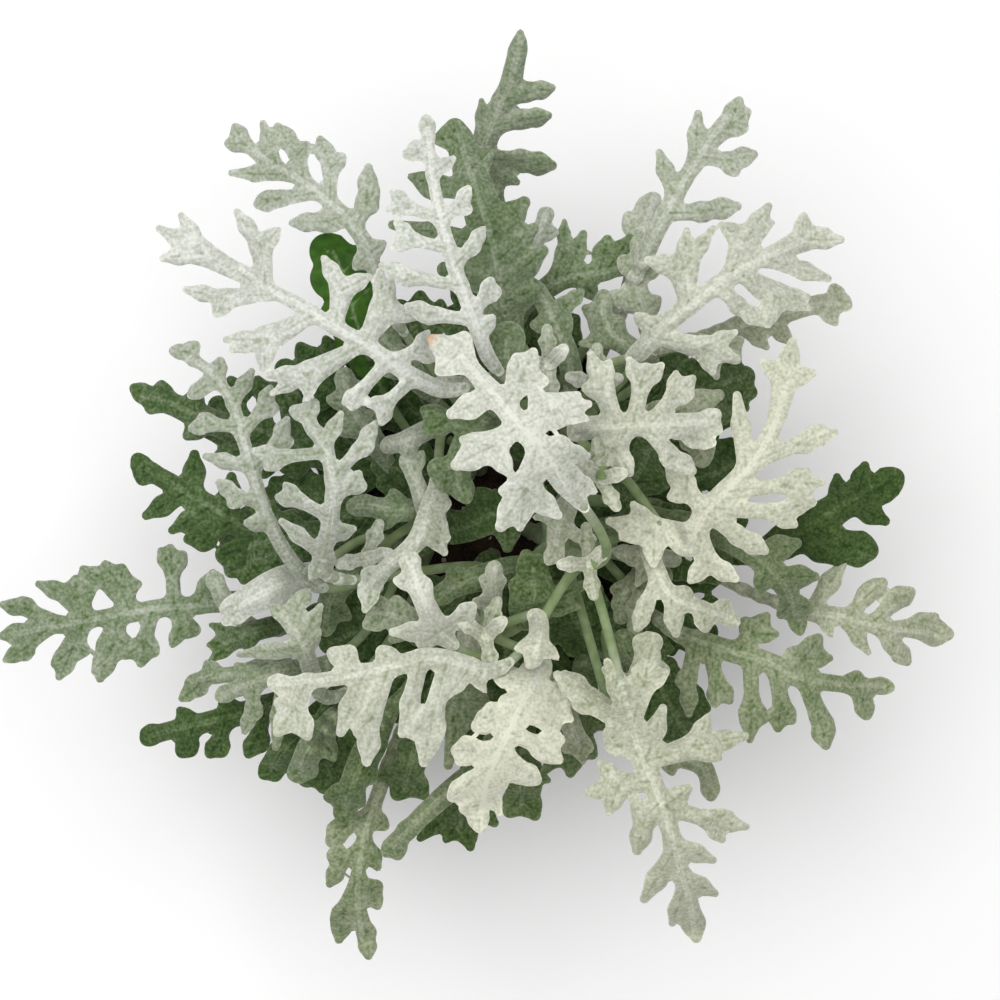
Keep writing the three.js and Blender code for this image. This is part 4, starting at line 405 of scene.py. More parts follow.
     [[[-20, 106, 1.8]], [[-25.5, 96, 1.6], [-23, 99, 1.4]], [[-29, 86, 1.6], [-30, 81, 1.6]],
     [[-28, 77.5, 1.6], [-29, 71, 1.6]], [[-32, 66, 1.8], [-27, 62, 1.6]],
     [[-25, 55, 2], [-21, 52, 1.8]], [[-12.5, 95, 1.5]], [[-8.5, 87, 1.6], [-8.5, 81, 1.6]],
     [[-4.5, 76, 1.6], [-6.5, 71, 1.5]], [[-2.5, 62, 1.8], [-0.5, 59, 1.6]], [[-2, 52, 1.8]]]],
    ["leaf_northeast_big", 0.14, "northeast", [160, 172, 158], 2.5, [-0.08, -0.08], 1,
     [[38, 43], [43.5, 49], [49.5, 54], [55.5, 58.5], [62.5, 63.5], [70, 67.5], [77, 70.5], [83, 73.5]],
     [[[72, 68], [82, 79.5, 1.9], [88, 75.5, 1.6], [92, 73, 2.1]], [[73, 67.5], [88.5, 62.5, 2.1]],
      [[65.5, 63.5], [83, 57.5, 1.9], [83.5, 54.5, 1.6], [72.5, 50, 1.8]],
      [[62, 62.5], [60, 77, 1.9], [72.5, 82, 2.1], [73.5, 77.5, 1.4]],
      [[51, 55], [50.5, 75.5, 1.8], [57.5, 76, 1.7], [40, 67.5, 2.2], [45.5, 65, 1.6]],
      [[59.5, 60], [70.5, 50.5, 2], [64, 54.5, 1.8]],
      [[43.5, 46.5], [63.5, 48, 1.7], [64, 41, 1.8], [57.5, 37, 1.7]],
      [[40.5, 45.5], [37, 52.5, 1.6], [44, 51.5, 1.4]]]],
    ["leaf_east_big", 0.06, "east", [158, 168, 158], 2.9, [-0.08, -0.08], 1,
     [[52, -8.5], [54.5, -2.5], [58.5, 2.5], [64, 8], [69.5, 14.5], [74, 23], [76.5, 31.5]],
     [[[75, 26], [79, 45.5, 2.3], [71, 40, 1.8], [84.5, 37, 2]], [[66.5, 11], [64, 31, 2.2]],
      [[68, 13], [87, 22.5, 1.7], [90.5, 21, 1.9], [84.5, 17.5, 1.8]],
      [[61.5, 5], [83, 10.5, 1.9], [87, 7.5, 1.9], [83.5, 4.5, 1.7]],
      [[58, 0.5], [84.5, 2, 2.2], [79.5, -4, 2]], [[56.5, -1], [71.5, -11, 2.4], [65, -8.5, 1.8]],
      [[56, -0.5], [45.5, 11.5, 2.1], [50.5, 10, 1.8], [46, 3.5, 1.8]],
      [[53.5, -6], [51.5, -19, 2], [63.5, -18.5, 2.2]],
      [[51.5, -6], [29.5, -3, 2.2], [36, 1.5, 2], [41.5, -14.5, 2.2], [33, -7.5, 1.8]]]],
    ["leaf_east_fan", 0.12, "east", [170, 180, 172], 3, [-0.05, -0.1], 1,
     [[22, 22], [29.5, 22.5], [36.5, 23], [44, 23], [51, 23.5], [55.5, 24]],
     [[[49, 23.5], [58.5, 26, 2.1], [59, 21.5, 2]],
      [[31.5, 22.5], [24.5, 42, 2], [29.5, 40, 1.7], [23, 33, 1.9]],
      [[36, 23], [35, 40.5, 1.9], [39.5, 39, 1.6], [43.5, 39, 2]],
      [[40.5, 23], [52, 35.5, 2.1], [47.5, 37, 1.6], [51.5, 31, 1.6]],
      [[34, 21.5], [26, 12.5, 2], [27.5, 17.5, 1.5], [35, 10, 2.3]],
      [[40.5, 21.5], [52, 10.5, 2.3], [45.5, 12.5, 1.8]],
      [[46, 22.5], [57.5, 18, 1.9], [52.5, 18, 1.6]], [[27.5, 22], [19, 25.5, 2.1], [19.5, 20, 1.8]]]],
    ["leaf_centre_silver", 0.05, "east", [188, 198, 187], 3.4, [-0.05, -0.1], 1.0,
     [[18, 7], [14, 12.5], [10, 18], [4.5, 24], [0, 29.5], [-4.5, 34.5], [-10.5, 41.5]],
     [[[-18.4, 46.2, 2.5], [-9.4, 46.8, 2.7], [-16.4, 37.4, 2.3], [-11.8, 41.5, 4.4]],
     [[-1, 31], [-13, 26, 3]],
     [[4, 22], [-10, 19, 2.2], [-11.8, 12.2, 3.1], [2.6, 9.8, 2.2], [-4.5, 16, 3.6]],
     [[9.5, 15.5], [0.6, 5.2, 2.2], [0.2, -4.4, 3.1], [5.4, -4.8, 2.1], [15.6, -1.4, 2.5], [7, 5, 3.2]],
     [[1.5, 28.5], [4.6, 41.2, 2.5], [9, 42.6, 2.5], [12, 34.8, 2.4], [6.5, 36.5, 3.6]],
     [[6, 23], [20.8, 31, 2.3], [23.8, 28.6, 2.2], [23.4, 24.6, 1.6], [14.5, 27, 4.4], [9.5, 29.5, 3]],
     [[10, 17], [23.8, 14.6, 1.7], [16, 17.6, 2.8]], [[13, 12.5], [25.4, 5, 1.9], [19.5, 9.4, 2.3]]]],
    ["leaf_west_small_dark", 0.75, "west", [112, 120, 112], 2.2, [-0.08, -0.08], 1.0,
     [[-60, -31], [-67, -33], [-74, -36]],
     [[[-78.5, -36.5, 1.6]], [[-78, -40.5, 1.6]], [[-68, -37, 1.6]], [[-78, -31, 1.4]]]],
    ["leaf_inner_thin", 0.35, "northwest", [146, 152, 150], 1.8, [-0.1, -0.1], 1.0,
     [[-20, -1], [-22, 6], [-25, 13]],
     [[[-26, 14, 1.4]], [[-21, 15.5, 1.5]]]],
    ["leaf_inner_curled", 0.3, "northwest", [142, 148, 144], 2.2, [-0.1, -0.1], 1.0,
     [[-19, 22], [-25, 19], [-30, 17.5]],
     [[[-31, 17, 1.6]], [[-25, 14, 1.8]]]],
    ["leaf_west_upright", 0.35, "west", [116, 122, 124], 2.2, [-0.1, -0.1], 1.0,
     [[-70, -29], [-74, -25], [-77, -19]],
     [[[-77.5, -18, 2]]]],
    ["leaf_south_lilac", 0.35, "south", [134, 140, 132], 2.4, [-0.08, -0.08], 1.0,
     [[17, -53], [19.5, -59], [21.5, -64]],
     [[[24.5, -64.5, 1.6]], [[22.5, -68, 1.5]], [[17.5, -65, 1.4]]]],
    ["leaf_south_frond", 0.25, "south", [142, 152, 146], 2.2, [-0.08, -0.08], 1.0,
     [[-8, -30], [-9, -36], [-9.5, -42]],
     [[[-9.5, -42.5, 1.8]], [[-3.5, -41, 1.5]], [[-3, -35.5, 1.4]]]],
    ["leaf_centre_sprout", 0.2, "south", [148, 156, 162], 1.9, [-0.1, -0.1], 1.0,
     [[-2, -26], [-2, -21], [-1.5, -16]],
     [[[-1.5, -15, 1.6]], [[-5, -18.5, 1.2]], [[1, -19, 1.2]], [[-7, -24.5, 1.3]]]],
    ["leaf_south_small", 0.1, "south", [164, 172, 172], 2.0, [-0.08, -0.08], 1.0,
     [[10.5, -30], [10.5, -35], [9.5, -40]],
     [[[4.5, -37.5, 1.5]], [[7.5, -36, 1.3]], [[15.5, -40, 1.4]], [[8, -42, 1.8]]]],
    ["leaf_northeast_cross", 0.5, "northeast", [134, 138, 134], 2.6, [-0.1, -0.1], 1.0,
     [[39, 41.5], [34, 44.5], [30, 48], [28, 52], [28, 57]],
     [[[28, 58, 1.9]], [[23, 54.5, 1.9]], [[22, 45, 1.7]], [[32, 51, 2.4]], [[26, 50, 2.8]]]],
    ["leaf_northeast_star", 0.35, "northeast", [126, 134, 130], 2.4, [-0.08, -0.08], 1.0,
     [[41, 46], [39, 54], [37, 62], [37.5, 72]],
     [[[37.5, 73, 1.8]], [[33, 67.5, 1.9], [35, 65, 2]], [[30, 58, 2], [35, 55.5, 2.2]], [[43, 66, 2.2]],
      [[42.5, 57, 1.9]]]],
    ["leaf_north_grey", 0.62, "north", [120, 128, 124], 2.6, [-0.08, -0.08], 1.0,
     [[10, 58], [17, 62.5], [26, 64], [34, 66]],
     [[[17.4, 78, 1.4], [19.5, 70, 1.8]], [[22.5, 74.5, 2.2]], [[29, 73, 2.6]], [[35, 73.5, 2.2]],
      [[36, 66, 1.6]], [[26, 57, 1.9]]]],
    ["leaf_northeast_upper", 0.25, "northeast", [118, 126, 122], 2.6, [-0.08, -0.08], 1.0,
     [[36, 64], [38, 72], [40, 79], [41.5, 84]],
     [[[41.5, 84, 1.9], [38, 81, 2.2]], [[34.5, 79.5, 1.8], [35, 76, 2]], [[45, 77.5, 1.8]]]],
    ["leaf_north_folded", 0.55, "north", [138, 144, 140], 2.6, [-0.12, -0.12], 1.0,
     [[19.5, 37], [17.5, 44], [14.5, 51], [11, 58]],
     [[[8, 62.5, 2]], [[18.5, 51.5, 1.9]], [[22, 59, 1.7], [17, 56, 1.8]], [[13.5, 43.5, 2]], [[9, 50, 2]]]],
    ["leaf_north_tips", 0.3, "north", [122, 130, 128], 2.0, [-0.08, -0.08], 1.0,
     [[6, 62], [9, 71], [12.5, 80]],
     [[[12.8, 80, 1.6]], [[15, 75, 1.7]], [[6, 74, 1.8]]]],
    ["leaf_southeast_fern", 0.4, "centre", [128, 132, 128], 1.8, [-0.1, -0.1], 1.0,
     [[43, -20], [38.5, -23], [36.8, -27], [36.5, -32]],
     [[[36.5, -32.5, 1.6]], [[34.5, -26.5, 1.4]], [[39, -28, 1.4]], [[36, -20.5, 1.5]]]],
    ["leaf_southeast_frond", 0.5, "centre", [122, 126, 122], 1.6, [-0.1, -0.1], 1.0,
     [[37, -18], [34.5, -21], [33, -25], [32.8, -29]],
     [[[32.6, -29, 1.6]], [[30.5, -21.5, 1.5]], [[35, -26, 1.4]], [[31, -25.5, 1.3]]]],
    ["leaf_southeast_lilac", 0.3, "centre", [134, 138, 134], 1.8, [-0.1, -0.1], 1.0,
     [[45, -13], [39, -12], [34, -12]],
     [[[31, -11, 1.6]], [[35.5, -14, 1.5]], [[37, -20, 1.6]], [[38, -9.5, 1.6]]]],
    ["leaf_south_oval", 0.7, "south", [128, 131, 129], 2.6, [-0.1, -0.1], 1.0,
     [[35.5, -40], [34, -37], [33.4, -34.5]], [[[33.4, -35, 2.4]]]],
    ["leaf_northwest_grey", 0.55, "northwest", [128, 134, 128], 3.0, [-0.1, -0.1], 1.0,
     [[-21, 34], [-26, 40], [-31, 46], [-33, 50]],
     [[[-33.5, 51, 1.8]], [[-36, 44, 1.9]], [[-27, 50, 1.8]], [[-23, 44, 2]], [[-31, 37, 1.9]]]],
    ["leaf_west_grey", 0.5, "west", [126, 132, 126], 3.0, [-0.1, -0.1], 1.0,
     [[-33, 17], [-38, 24], [-41, 31], [-42, 36]],
     [[[-42, 36.5, 2]], [[-46, 30, 2]], [[-36, 34, 2]], [[-45, 22, 1.9]], [[-33, 27, 1.9]]]],
]
Leaf = namedtuple("Leaf", "name tone branch heights web slopes curl rib lobes")
LEAVES = [Leaf(*row) for row in LEAVES]
print(len(LEAVES), "leaves laid out one by one")

# %% [markdown]
# ## Shaded inner leaves
# Under the silver canopy sit older, greener leaves that fill the plant down to the soil. Their tones
# of 0.8 to 0.95 turn them dark green, partly for their age and partly as painted shade for the deep
# shadow in the middle of the plant. None of them has a shape anyone would know it by, so they share
# one plan, a slightly bent rib with four pairs of lobes that are longest in the middle, and chance
# moves each lobe a little.
# Rows: [tone, branch, blade base (u, v), tip (u, v), height of the blade's base].

# %% shaded inner leaves
# the tones of 0.8 to 0.95 are dark green partly for age and partly as painted shade of the plant's middle
INNER_LEAVES = [
    [0.95, "west", (-24, 6), (-50, 26), 104], [0.9, "west", (-30, -2), (-63, 3), 108],
    [0.85, "west", (-42, 12), (-76, 28), 112], [0.95, "northwest", (-22, 22), (-58, 38), 106],
    [0.9, "west", (-24, -20), (-46, -36), 106], [0.95, "south", (-14, -24), (-34, -54), 102],
    [0.85, "south", (-4, -30), (-10, -62), 108], [0.9, "south", (8, -30), (15, -60), 104],
    [0.8, "centre", (22, -24), (39, -48), 110], [0.95, "centre", (27, -14), (56, -33), 103],
    [0.85, "east", (31, -4), (64, -9), 112], [0.9, "east", (30, 6), (63, 12), 107],
    [0.95, "northeast", (27, 15), (58, 30), 102], [0.85, "northeast", (25, 21), (48, 41), 110],
    [0.9, "north", (13, 26), (12, 56), 104], [0.9, "northwest", (1, 28), (-6, 62), 108],
    [0.85, "northwest", (-9, 26), (-27, 54), 112], [0.95, "northwest", (-14, 18), (-34, 44), 101],
    [0.9, "west", (-16, -2), (-38, -16), 116], [0.85, "northwest", (-10, 10), (-32, 12), 118],
    [0.9, "centre", (12, -12), (24, -36), 118], [0.95, "east", (14, 4), (38, -2), 114],
    [0.9, "north", (6, 16), (4, 40), 116], [0.85, "south", (-3, -14), (-22, -34), 114],
    [0.9, "south", (2, -16), (2, -44), 120], [0.85, "east", (20, 12), (40, 24), 120],
    [0.8, "west", (-46, -6), (-74, -12), 114], [0.85, "south", (-38, -50), (-52, -72), 108],
    [0.8, "northeast", (40, 26), (66, 36), 116], [0.85, "centre", (38, -38), (50, -60), 110],
]
LOBE_PLACES = ((0.28, 0.20), (0.48, 0.31), (0.68, 0.30), (0.87, 0.20))
INNER_WEB = 3.2
INNER_SLOPES = [-0.06, -0.06]
INNER_CURL = 1.5
ARCH_RISE, TIP_FALL = 7, 2
RIB_BEND = 0.07
LOBE_LEAN = 0.35
TOOTH_GAP = 0.3
WIDEST_GAP = 2.4
END_SHARE = 0.75
TOOTH_SHARE = 0.62


def plain_leaf(name, tone, branch, base, tip, height):
    """A leaf on the shared plan. The rib is a parabola from base to tip. A lobe lies beside its
    place on the rib, out by its share of the rib's length and leaning forward, and ends in two
    teeth, one on either side of its middle."""
    base = np.array(base, float)
    tip = np.array(tip, float)
    length = np.hypot(*(tip - base))
    along = (tip - base) / length
    left = np.array([-along[1], along[0]])
    bend = random.uniform(-RIB_BEND, RIB_BEND) * length

    def spot(s):
        """The rib's point at share s of its length."""
        return base + along * s * length + left * bend * 4 * s * (1 - s)

    lobes = [[[*spot(1.0), INNER_WEB * END_SHARE]]]
    width = INNER_WEB * TOOTH_SHARE
    for place, reach in LOBE_PLACES:
        for side in (1, -1):
            out = length * reach * random.uniform(0.85, 1.15)
            root = spot(place + random.uniform(-0.03, 0.03))
            middle = root + left * side * out + along * LOBE_LEAN * out
            gap = along * min(TOOTH_GAP * out, WIDEST_GAP)
            lobes.append([[*(middle + gap), width], [*(middle - gap), width]])
    heights = [height, height + ARCH_RISE, height - TIP_FALL]
    rib = [spot(s) for s in np.linspace(0, 1, 5)]
    return Leaf(name, tone, branch, heights, INNER_WEB, INNER_SLOPES, INNER_CURL, rib, lobes)


for number, (tone, branch, base, tip, height) in enumerate(INNER_LEAVES, start=1):
    LEAVES.append(plain_leaf(f"leaf_shaded_{number}", tone, branch, base, tip, height))
print(len(INNER_LEAVES), "shaded inner leaves")

# %% [markdown]
# ## Stem lines and growing tips
# Each CAD stem is a leaning rod, so the middle of its lowest and of its highest points give its
# line. At the top of each stem grows a tuft of four young leaves, whiter the younger they are.
# Each has a short straight rib and two small teeth, and is turned by about the golden angle
# from the one before, as leaves are in nature.

# %% stem lines and growing tips
STEMS = ("centre", "north", "northwest", "northeast", "west", "east", "south")
STEM_END = 0.004
STEM_LINES = {}
for branch in STEMS:
    stem = vertices_of("stem_" + branch)
    low, high = stem[:, 2].min(), stem[:, 2].max()
    lower = stem[stem[:, 2] < low + STEM_END].mean(axis=0)
    upper = stem[stem[:, 2] > high - STEM_END].mean(axis=0)
    STEM_LINES[branch] = (lower, upper)

TIP_LEAVES = 4
GOLDEN_TURN = 2.4
TIP_LIFT, TIP_STANDOFF = 1.5, 0.9
TIP_WEB, TIP_SLOPES, TIP_CURL = 0.8, [0.3, 0.3], 1.0
YOUNGEST_TONE, TONE_STEP = 0.12, 0.08
TIP_RIB = (0, 0.4, 0.7, 1)
TOOTH_PLACE, TOOTH_REACH, TOOTH_WIDTH = 0.62, 0.22, 0.55
for branch, (lower, upper) in STEM_LINES.items():
    top = plan_of(upper)
    for k in range(TIP_LEAVES):
        turn = GOLDEN_TURN * k + random.uniform(0, 1)
        length = 5.5 + 1.3 * k
        rise = 8 - 1.2 * k
        toward = np.array([math.cos(turn), math.sin(turn)])
        start = top[2] + TIP_LIFT
        heights = [start, start + 0.7 * rise, start + rise]
        base = top[:2] + TIP_STANDOFF * toward
        middle = base + TOOTH_PLACE * length * toward
        side = TOOTH_REACH * length * np.array([-toward[1], toward[0]])
        rib = [base + s * length * toward for s in TIP_RIB]
        teeth = [[[*(middle + side), TOOTH_WIDTH]], [[*(middle - side), TOOTH_WIDTH]]]
        LEAVES.append(Leaf(f"leaf_tip_{branch}_{k + 1}", YOUNGEST_TONE + TONE_STEP * k, branch, heights,
                           TIP_WEB, TIP_SLOPES, TIP_CURL, rib, teeth))
SCENE_ONLY = {leaf.name for leaf in LEAVES if leaf.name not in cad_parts}
print(len(LEAVES), "leaves,", len(SCENE_ONLY), "of them with no CAD node")

# %% [markdown]
# ## Outline of a blade
# A blade is a union of tapering strokes: the web along the rib, and each lobe from a root on the
# rib to its teeth. A lobe with several teeth first widens to a fan, and each tooth then swells
# to a belly and narrows to its point. A drawn outline would need many more points, and the
# strokes also say where the veins run.

# %% strokes of a blade
RIB_STEPS = 39
WEB_TAPER = 0.45
LOBE_SWEEP = 0.55
TIP_SWEEP = 0.7
ROOT_WIDTH = 2.3
FORK_PLACE = 0.62
FAN_SHARE = 0.5
FAN_LIMIT = 4.2
TOOTH_START = 0.75
BELLY_PLACE = 0.6
BELLY_SHARE = 1.12
POINT_SHARE = 0.52


def rib_line(points):
    """A uniform Catmull-Rom curve through the plan points, in even parameter steps."""
    p = np.asarray(points, float)
    p = np.vstack([2 * p[0] - p[1], p, 2 * p[-1] - p[-2]])
    spans = len(p) - 3
    t = np.linspace(0, spans, RIB_STEPS + 1)
    i = np.minimum(t.astype(int), spans - 1)
    f = (t - i)[:, None]
    a, b, c, d = p[i], p[i + 1], p[i + 2], p[i + 3]
    return 0.5 * (2 * b + (c - a) * f + (2 * a - 5 * b + 4 * c - d) * f**2 + (3 * b - a - 3 * c + d) * f**3)


def lengths_along(line):
    """Distance travelled along a line of points, starting from 0."""
    return np.concatenate([[0.0], np.cumsum(np.hypot(*np.diff(line, axis=0).T))])


def root_of(rib, lengths, middle):
    """Where a lobe leaves the rib: back from the rib point nearest to the lobe's middle, by a
    share of the distance between them, as side veins run forward."""
    away = np.hypot(*(rib - middle).T)
    nearest = int(away.argmin())
    whole = lengths[-1]
    if nearest == len(rib) - 1:
        place = max(whole - TIP_SWEEP * away[nearest], 0)
    else:
        place = max(lengths[nearest] - LOBE_SWEEP * away[nearest], 0.02 * whole)
    return np.array([np.interp(place, lengths, rib[:, k]) for k in (0, 1)])


def blade_strokes(rib, web, lobes):
    """Rows [x0, y0, x1, y1, r0, r1, lobe]: the strokes of a blade; lobe is 0 for the web."""
    lengths = lengths_along(rib)
    width = web * (1 - WEB_TAPER * (lengths / lengths[-1]) ** 2)
    strokes = [[*rib[i], *rib[i + 1], width[i], width[i + 1], 0] for i in range(len(rib) - 1)]
    for number, teeth in enumerate(lobes, start=1):
        given_root = np.array(teeth[0]) if len(teeth[0]) == 2 else None
        teeth = np.array([tooth for tooth in teeth if len(tooth) == 3], float)
        middle = teeth[:, :2].mean(axis=0)
        root = root_of(rib, lengths, middle) if given_root is None else given_root
        if len(teeth) == 1:
            start, start_width = root, min(ROOT_WIDTH, web)
        else:
            start = root + FORK_PLACE * (middle - root)
            spread = np.hypot(*(teeth[:, :2] - middle).T).max()
            start_width = np.clip(FAN_SHARE * spread, teeth[:, 2].max(), FAN_LIMIT)
            strokes.append([*root, *start, min(ROOT_WIDTH, web), start_width, number])
            start_width *= TOOTH_START
        for tooth in teeth:
            belly = start + BELLY_PLACE * (tooth[:2] - start)
            strokes.append([*start, *belly, start_width, BELLY_SHARE * tooth[2], number])
            strokes.append([*belly, *tooth[:2], BELLY_SHARE * tooth[2], POINT_SHARE * tooth[2], number])
    return np.array(strokes)


sample = LEAVES[0]
sample_rib = rib_line(sample.rib)
sample_strokes = blade_strokes(sample_rib, sample.web, sample.lobes)
sample_length = lengths_along(sample_rib)[-1]
print(sample.name, "has", len(sample_strokes), "strokes on a rib", round(sample_length), "mm long")

# %% [markdown]
# ## Distance field
# Each stroke is a cone seen from above, and the distance to it is the distance to its middle
# line less its half width there. Joining the distances with a smooth minimum rounds the corners
# between strokes, which gives the soft sinuses of the cut leaf.

# %% distance field
JOIN_WIDTH = 1.6
STROKE_MARGIN = 7
VEIN_FADE = 0.5
FAR = 1e3


def blade_field(strokes, x, y):
    """Distance outside the joined strokes (negative inside), distance to the nearest vein, and
    distance to the rib, at points x, y."""
    field = np.full(x.shape, FAR)
    vein = np.full(x.shape, FAR)
    rib = np.full(x.shape, FAR)
    for x0, y0, x1, y1, r0, r1, lobe in strokes:
        reach = max(r0, r1) + STROKE_MARGIN
        near = ((x > min(x0, x1) - reach) & (x < max(x0, x1) + reach)
                & (y > min(y0, y1) - reach) & (y < max(y0, y1) + reach))
        if not near.any():
            continue
        px, py = x[near] - x0, y[near] - y0
        dx, dy = x1 - x0, y1 - y0
        t = np.clip((px * dx + py * dy) / (dx * dx + dy * dy + 1e-9), 0, 1)
        line = np.hypot(px - t * dx, py - t * dy)
        d = line - (r0 + (r1 - r0) * t)
        old = field[near]
        h = np.clip(0.5 + (old - d) / (2 * JOIN_WIDTH), 0, 1)
        field[near] = old * (1 - h) + d * h - JOIN_WIDTH * h * (1 - h)
        vein[near] = np.minimum(vein[near], line + (VEIN_FADE * t if lobe else 0))
        if not lobe:
            rib[near] = np.minimum(rib[near], line)
    return field, vein, rib


sample_field = blade_field(sample_strokes, *sample_rib.T)[0]
print("its rib lies", round(-sample_field.max(), 2), "to", round(-sample_field.min(), 2), "mm inside the rim")

# %% [markdown]
# ## From outline to grid
# The outline is filled with a fine square grid, because an even grid bends well and takes values
# for the finishes. A cell with all four corners inside is kept as a quad, one with three as a
# triangle, and the points of the rim are then pulled onto the field's zero line by Newton steps
# along its slope. Small islands are dropped.

# %% grid of a blade
GRID_CELL = 0.75
GRID_MARGIN = 6
RIM_REACH = 0.35
RIM_STEPS = 4
GENTLEST_SLOPE = 0.2
SLOPE_STEP = 0.05
LONGEST_MOVE = 0.6
SPREAD_ROUNDS = 400


def fill_outline(strokes):
    """Grid points inside the strokes, rim points pulled onto the zero line, and the quads and
    triangles between them, in plan coordinates."""
    ends = np.vstack([strokes[:, :2], strokes[:, 2:4]])
    x0, y0 = ends.min(axis=0) - GRID_MARGIN
    x1, y1 = ends.max(axis=0) + GRID_MARGIN
    columns = int((x1 - x0) / GRID_CELL) + 2
    rows = int((y1 - y0) / GRID_CELL) + 2
    x, y = np.meshgrid(x0 + np.arange(columns) * GRID_CELL, y0 + np.arange(rows) * GRID_CELL)
    inside = blade_field(strokes, x, y)[0] < RIM_REACH * GRID_CELL
    corner_count = inside[:-1, :-1].astype(int) + inside[:-1, 1:] + inside[1:, 1:] + inside[1:, :-1]
    number = np.arange(rows * columns).reshape(rows, columns)
    corners = np.stack([number[:-1, :-1], number[:-1, 1:], number[1:, 1:], number[1:, :-1]], axis=-1)
    quads = corners[corner_count == 4]
    threes = corners[corner_count == 3]
    triangles = threes[inside.ravel()[threes]].reshape(-1, 3)
    full = np.bincount(quads.ravel(), minlength=rows * columns)
    touching = full + np.bincount(triangles.ravel(), minlength=rows * columns)
    used = np.flatnonzero(touching > 0)
    rim = full[used] < 4
    renumber = np.full(rows * columns, -1)
    renumber[used] = np.arange(len(used))
    px, py = x.ravel()[used], y.ravel()[used]
    rx, ry = px[rim], py[rim]
    for _ in range(RIM_STEPS):
        f = blade_field(strokes, rx, ry)[0]
        gx = (blade_field(strokes, rx + SLOPE_STEP, ry)[0] - f) / SLOPE_STEP
        gy = (blade_field(strokes, rx, ry + SLOPE_STEP)[0] - f) / SLOPE_STEP
        move = np.clip(f / np.maximum(gx * gx + gy * gy, GENTLEST_SLOPE), -LONGEST_MOVE, LONGEST_MOVE)
        rx, ry = rx - move * gx, ry - move * gy
    px[rim], py[rim] = rx, ry
    return px, py, rim, renumber[quads], renumber[triangles]


def keep_largest(count, quads, triangles):
    """A mask of the points in the largest connected part of a grid: every point takes the lowest
    number among its neighbours until nothing changes, and the most common number wins."""
    label = np.arange(count)
    for _ in range(SPREAD_ROUNDS):
        before = label.copy()
        for faces in (quads, triangles):
            if len(faces):
                low = label[faces].min(axis=1)
                for k in range(faces.shape[1]):
                    np.minimum.at(label, faces[:, k], low)
        label = label[label]
        if (label == before).all():
            break
    largest = np.bincount(label).argmax()
    return label == largest


def wall_between(quads, triangles, count):
    """Quads that join the open border of a grid to the border of its copy, count vertices on. A
    border edge is one that no neighbouring face runs through the other way."""
    edges = np.vstack([np.stack([faces[:, k], faces[:, (k + 1) % faces.shape[1]]], axis=1)
                       for faces in (quads, triangles) for k in range(faces.shape[1])])
    key = edges[:, 0].astype(np.int64) * count + edges[:, 1]
    back = edges[:, 1].astype(np.int64) * count + edges[:, 0]
    a, b = edges[~np.isin(key, back)].T
    return np.stack([b, a, a + count, b + count], axis=1).tolist()


sample_x, _, sample_rim, sample_quads, sample_triangles = fill_outline(sample_strokes)
print(len(sample_x), "grid points,", sample_rim.sum(), "of them on the rim;",
      len(sample_quads), "quads and", len(sample_triangles), "triangles")

# %% [markdown]
# ## Where each leaf joins its stem
# The CAD leaf says how high the leaf sits and where its stalk leaves the stem. Its vertices are
# read back to the plan: the one nearest to any stem is the stalk's foot, and the height left
# over beside the plan's own height is how far the leaf was raised to lie clear of its
# neighbours. A leaf with no CAD node gets a foot on its stem, lower the longer its stalk.

# %% heights of a blade
CURL_WIDTH = 20.0
BLEND_AREA = 2


def rib_heights(rib, heights):
    """Height along the rib: the quadratic through base, middle and tip over its length."""
    s = lengths_along(rib)
    s = s / s[-1]
    low, middle, tip = heights
    return low * (1 - s) * (1 - 2 * s) + middle * 4 * s * (1 - s) + tip * s * (2 * s - 1)


def sheet_height(spine, slopes, curl, x, y):
    """Height of a leaf's middle surface: spine heights weighted by nearness, then the fall of
    the blade to the side and its curl. Spine rows are [x, y, z]."""
    away = (x[:, None] - spine[None, :, 0]) ** 2 + (y[:, None] - spine[None, :, 1]) ** 2
    weight = 1 / (away + BLEND_AREA) ** 3
    height = weight @ spine[:, 2] / weight.sum(axis=1)
    nearest = away.argmin(axis=1)
    before = spine[np.maximum(nearest - 1, 0), :2]
    after = spine[np.minimum(nearest + 1, len(spine) - 1), :2]
    at = spine[nearest, :2]
    side = (after[:, 0] - before[:, 0]) * (y - at[:, 1]) - (after[:, 1] - before[:, 1]) * (x - at[:, 0])
    d = np.sqrt(away.min(axis=1))
    fall = np.where(side > 0, slopes[0], slopes[1]) * d - curl * (d / CURL_WIDTH) ** 2
    return height + fall


print("the sample's rib rises to", round(rib_heights(sample_rib, sample.heights).max(), 1), "mm")

# %% feet on the stems
FOOT_REACH = 4 * MM
BASE_STEPS = 6
LOWEST_SHARE, HIGHEST_SHARE = 0.35, 0.97
SETTLE_ROUNDS = 4
FIRST_DROP, FOOT_DROP, FOOT_SLANT = 8, 5, 0.45
FOOT_RADIUS = 2.6


def stem_distance(branch, points):
    """Distance in metres from points to a stem's middle line."""
    lower, upper = STEM_LINES[branch]
    line = upper - lower
    t = np.clip((points - lower) @ line / line.dot(line), 0, 1)
    return np.linalg.norm(points - lower - t[:, None] * line, axis=1)


def foot_of(leaf):
    """The stalk's foot (u, v, z) of a CAD leaf and the plan direction in which it leaves."""
    points = vertices_of(leaf.name)
    distances = {branch: stem_distance(branch, points) for branch in STEMS}
    branch = min(STEMS, key=lambda name: distances[name].min())
    closest = points[distances[branch].argmin()]
    end = points[np.linalg.norm(points - closest, axis=1) < FOOT_REACH].mean(axis=0)
    lower, upper = STEM_LINES[branch]
    t = (end[2] - lower[2]) / (upper[2] - lower[2])
    axis = plan_of(lower + t * (upper - lower))
    foot = plan_of(end)
    out = foot[:2] - axis[:2]
    return foot, out / max(np.hypot(*out), 1e-6)


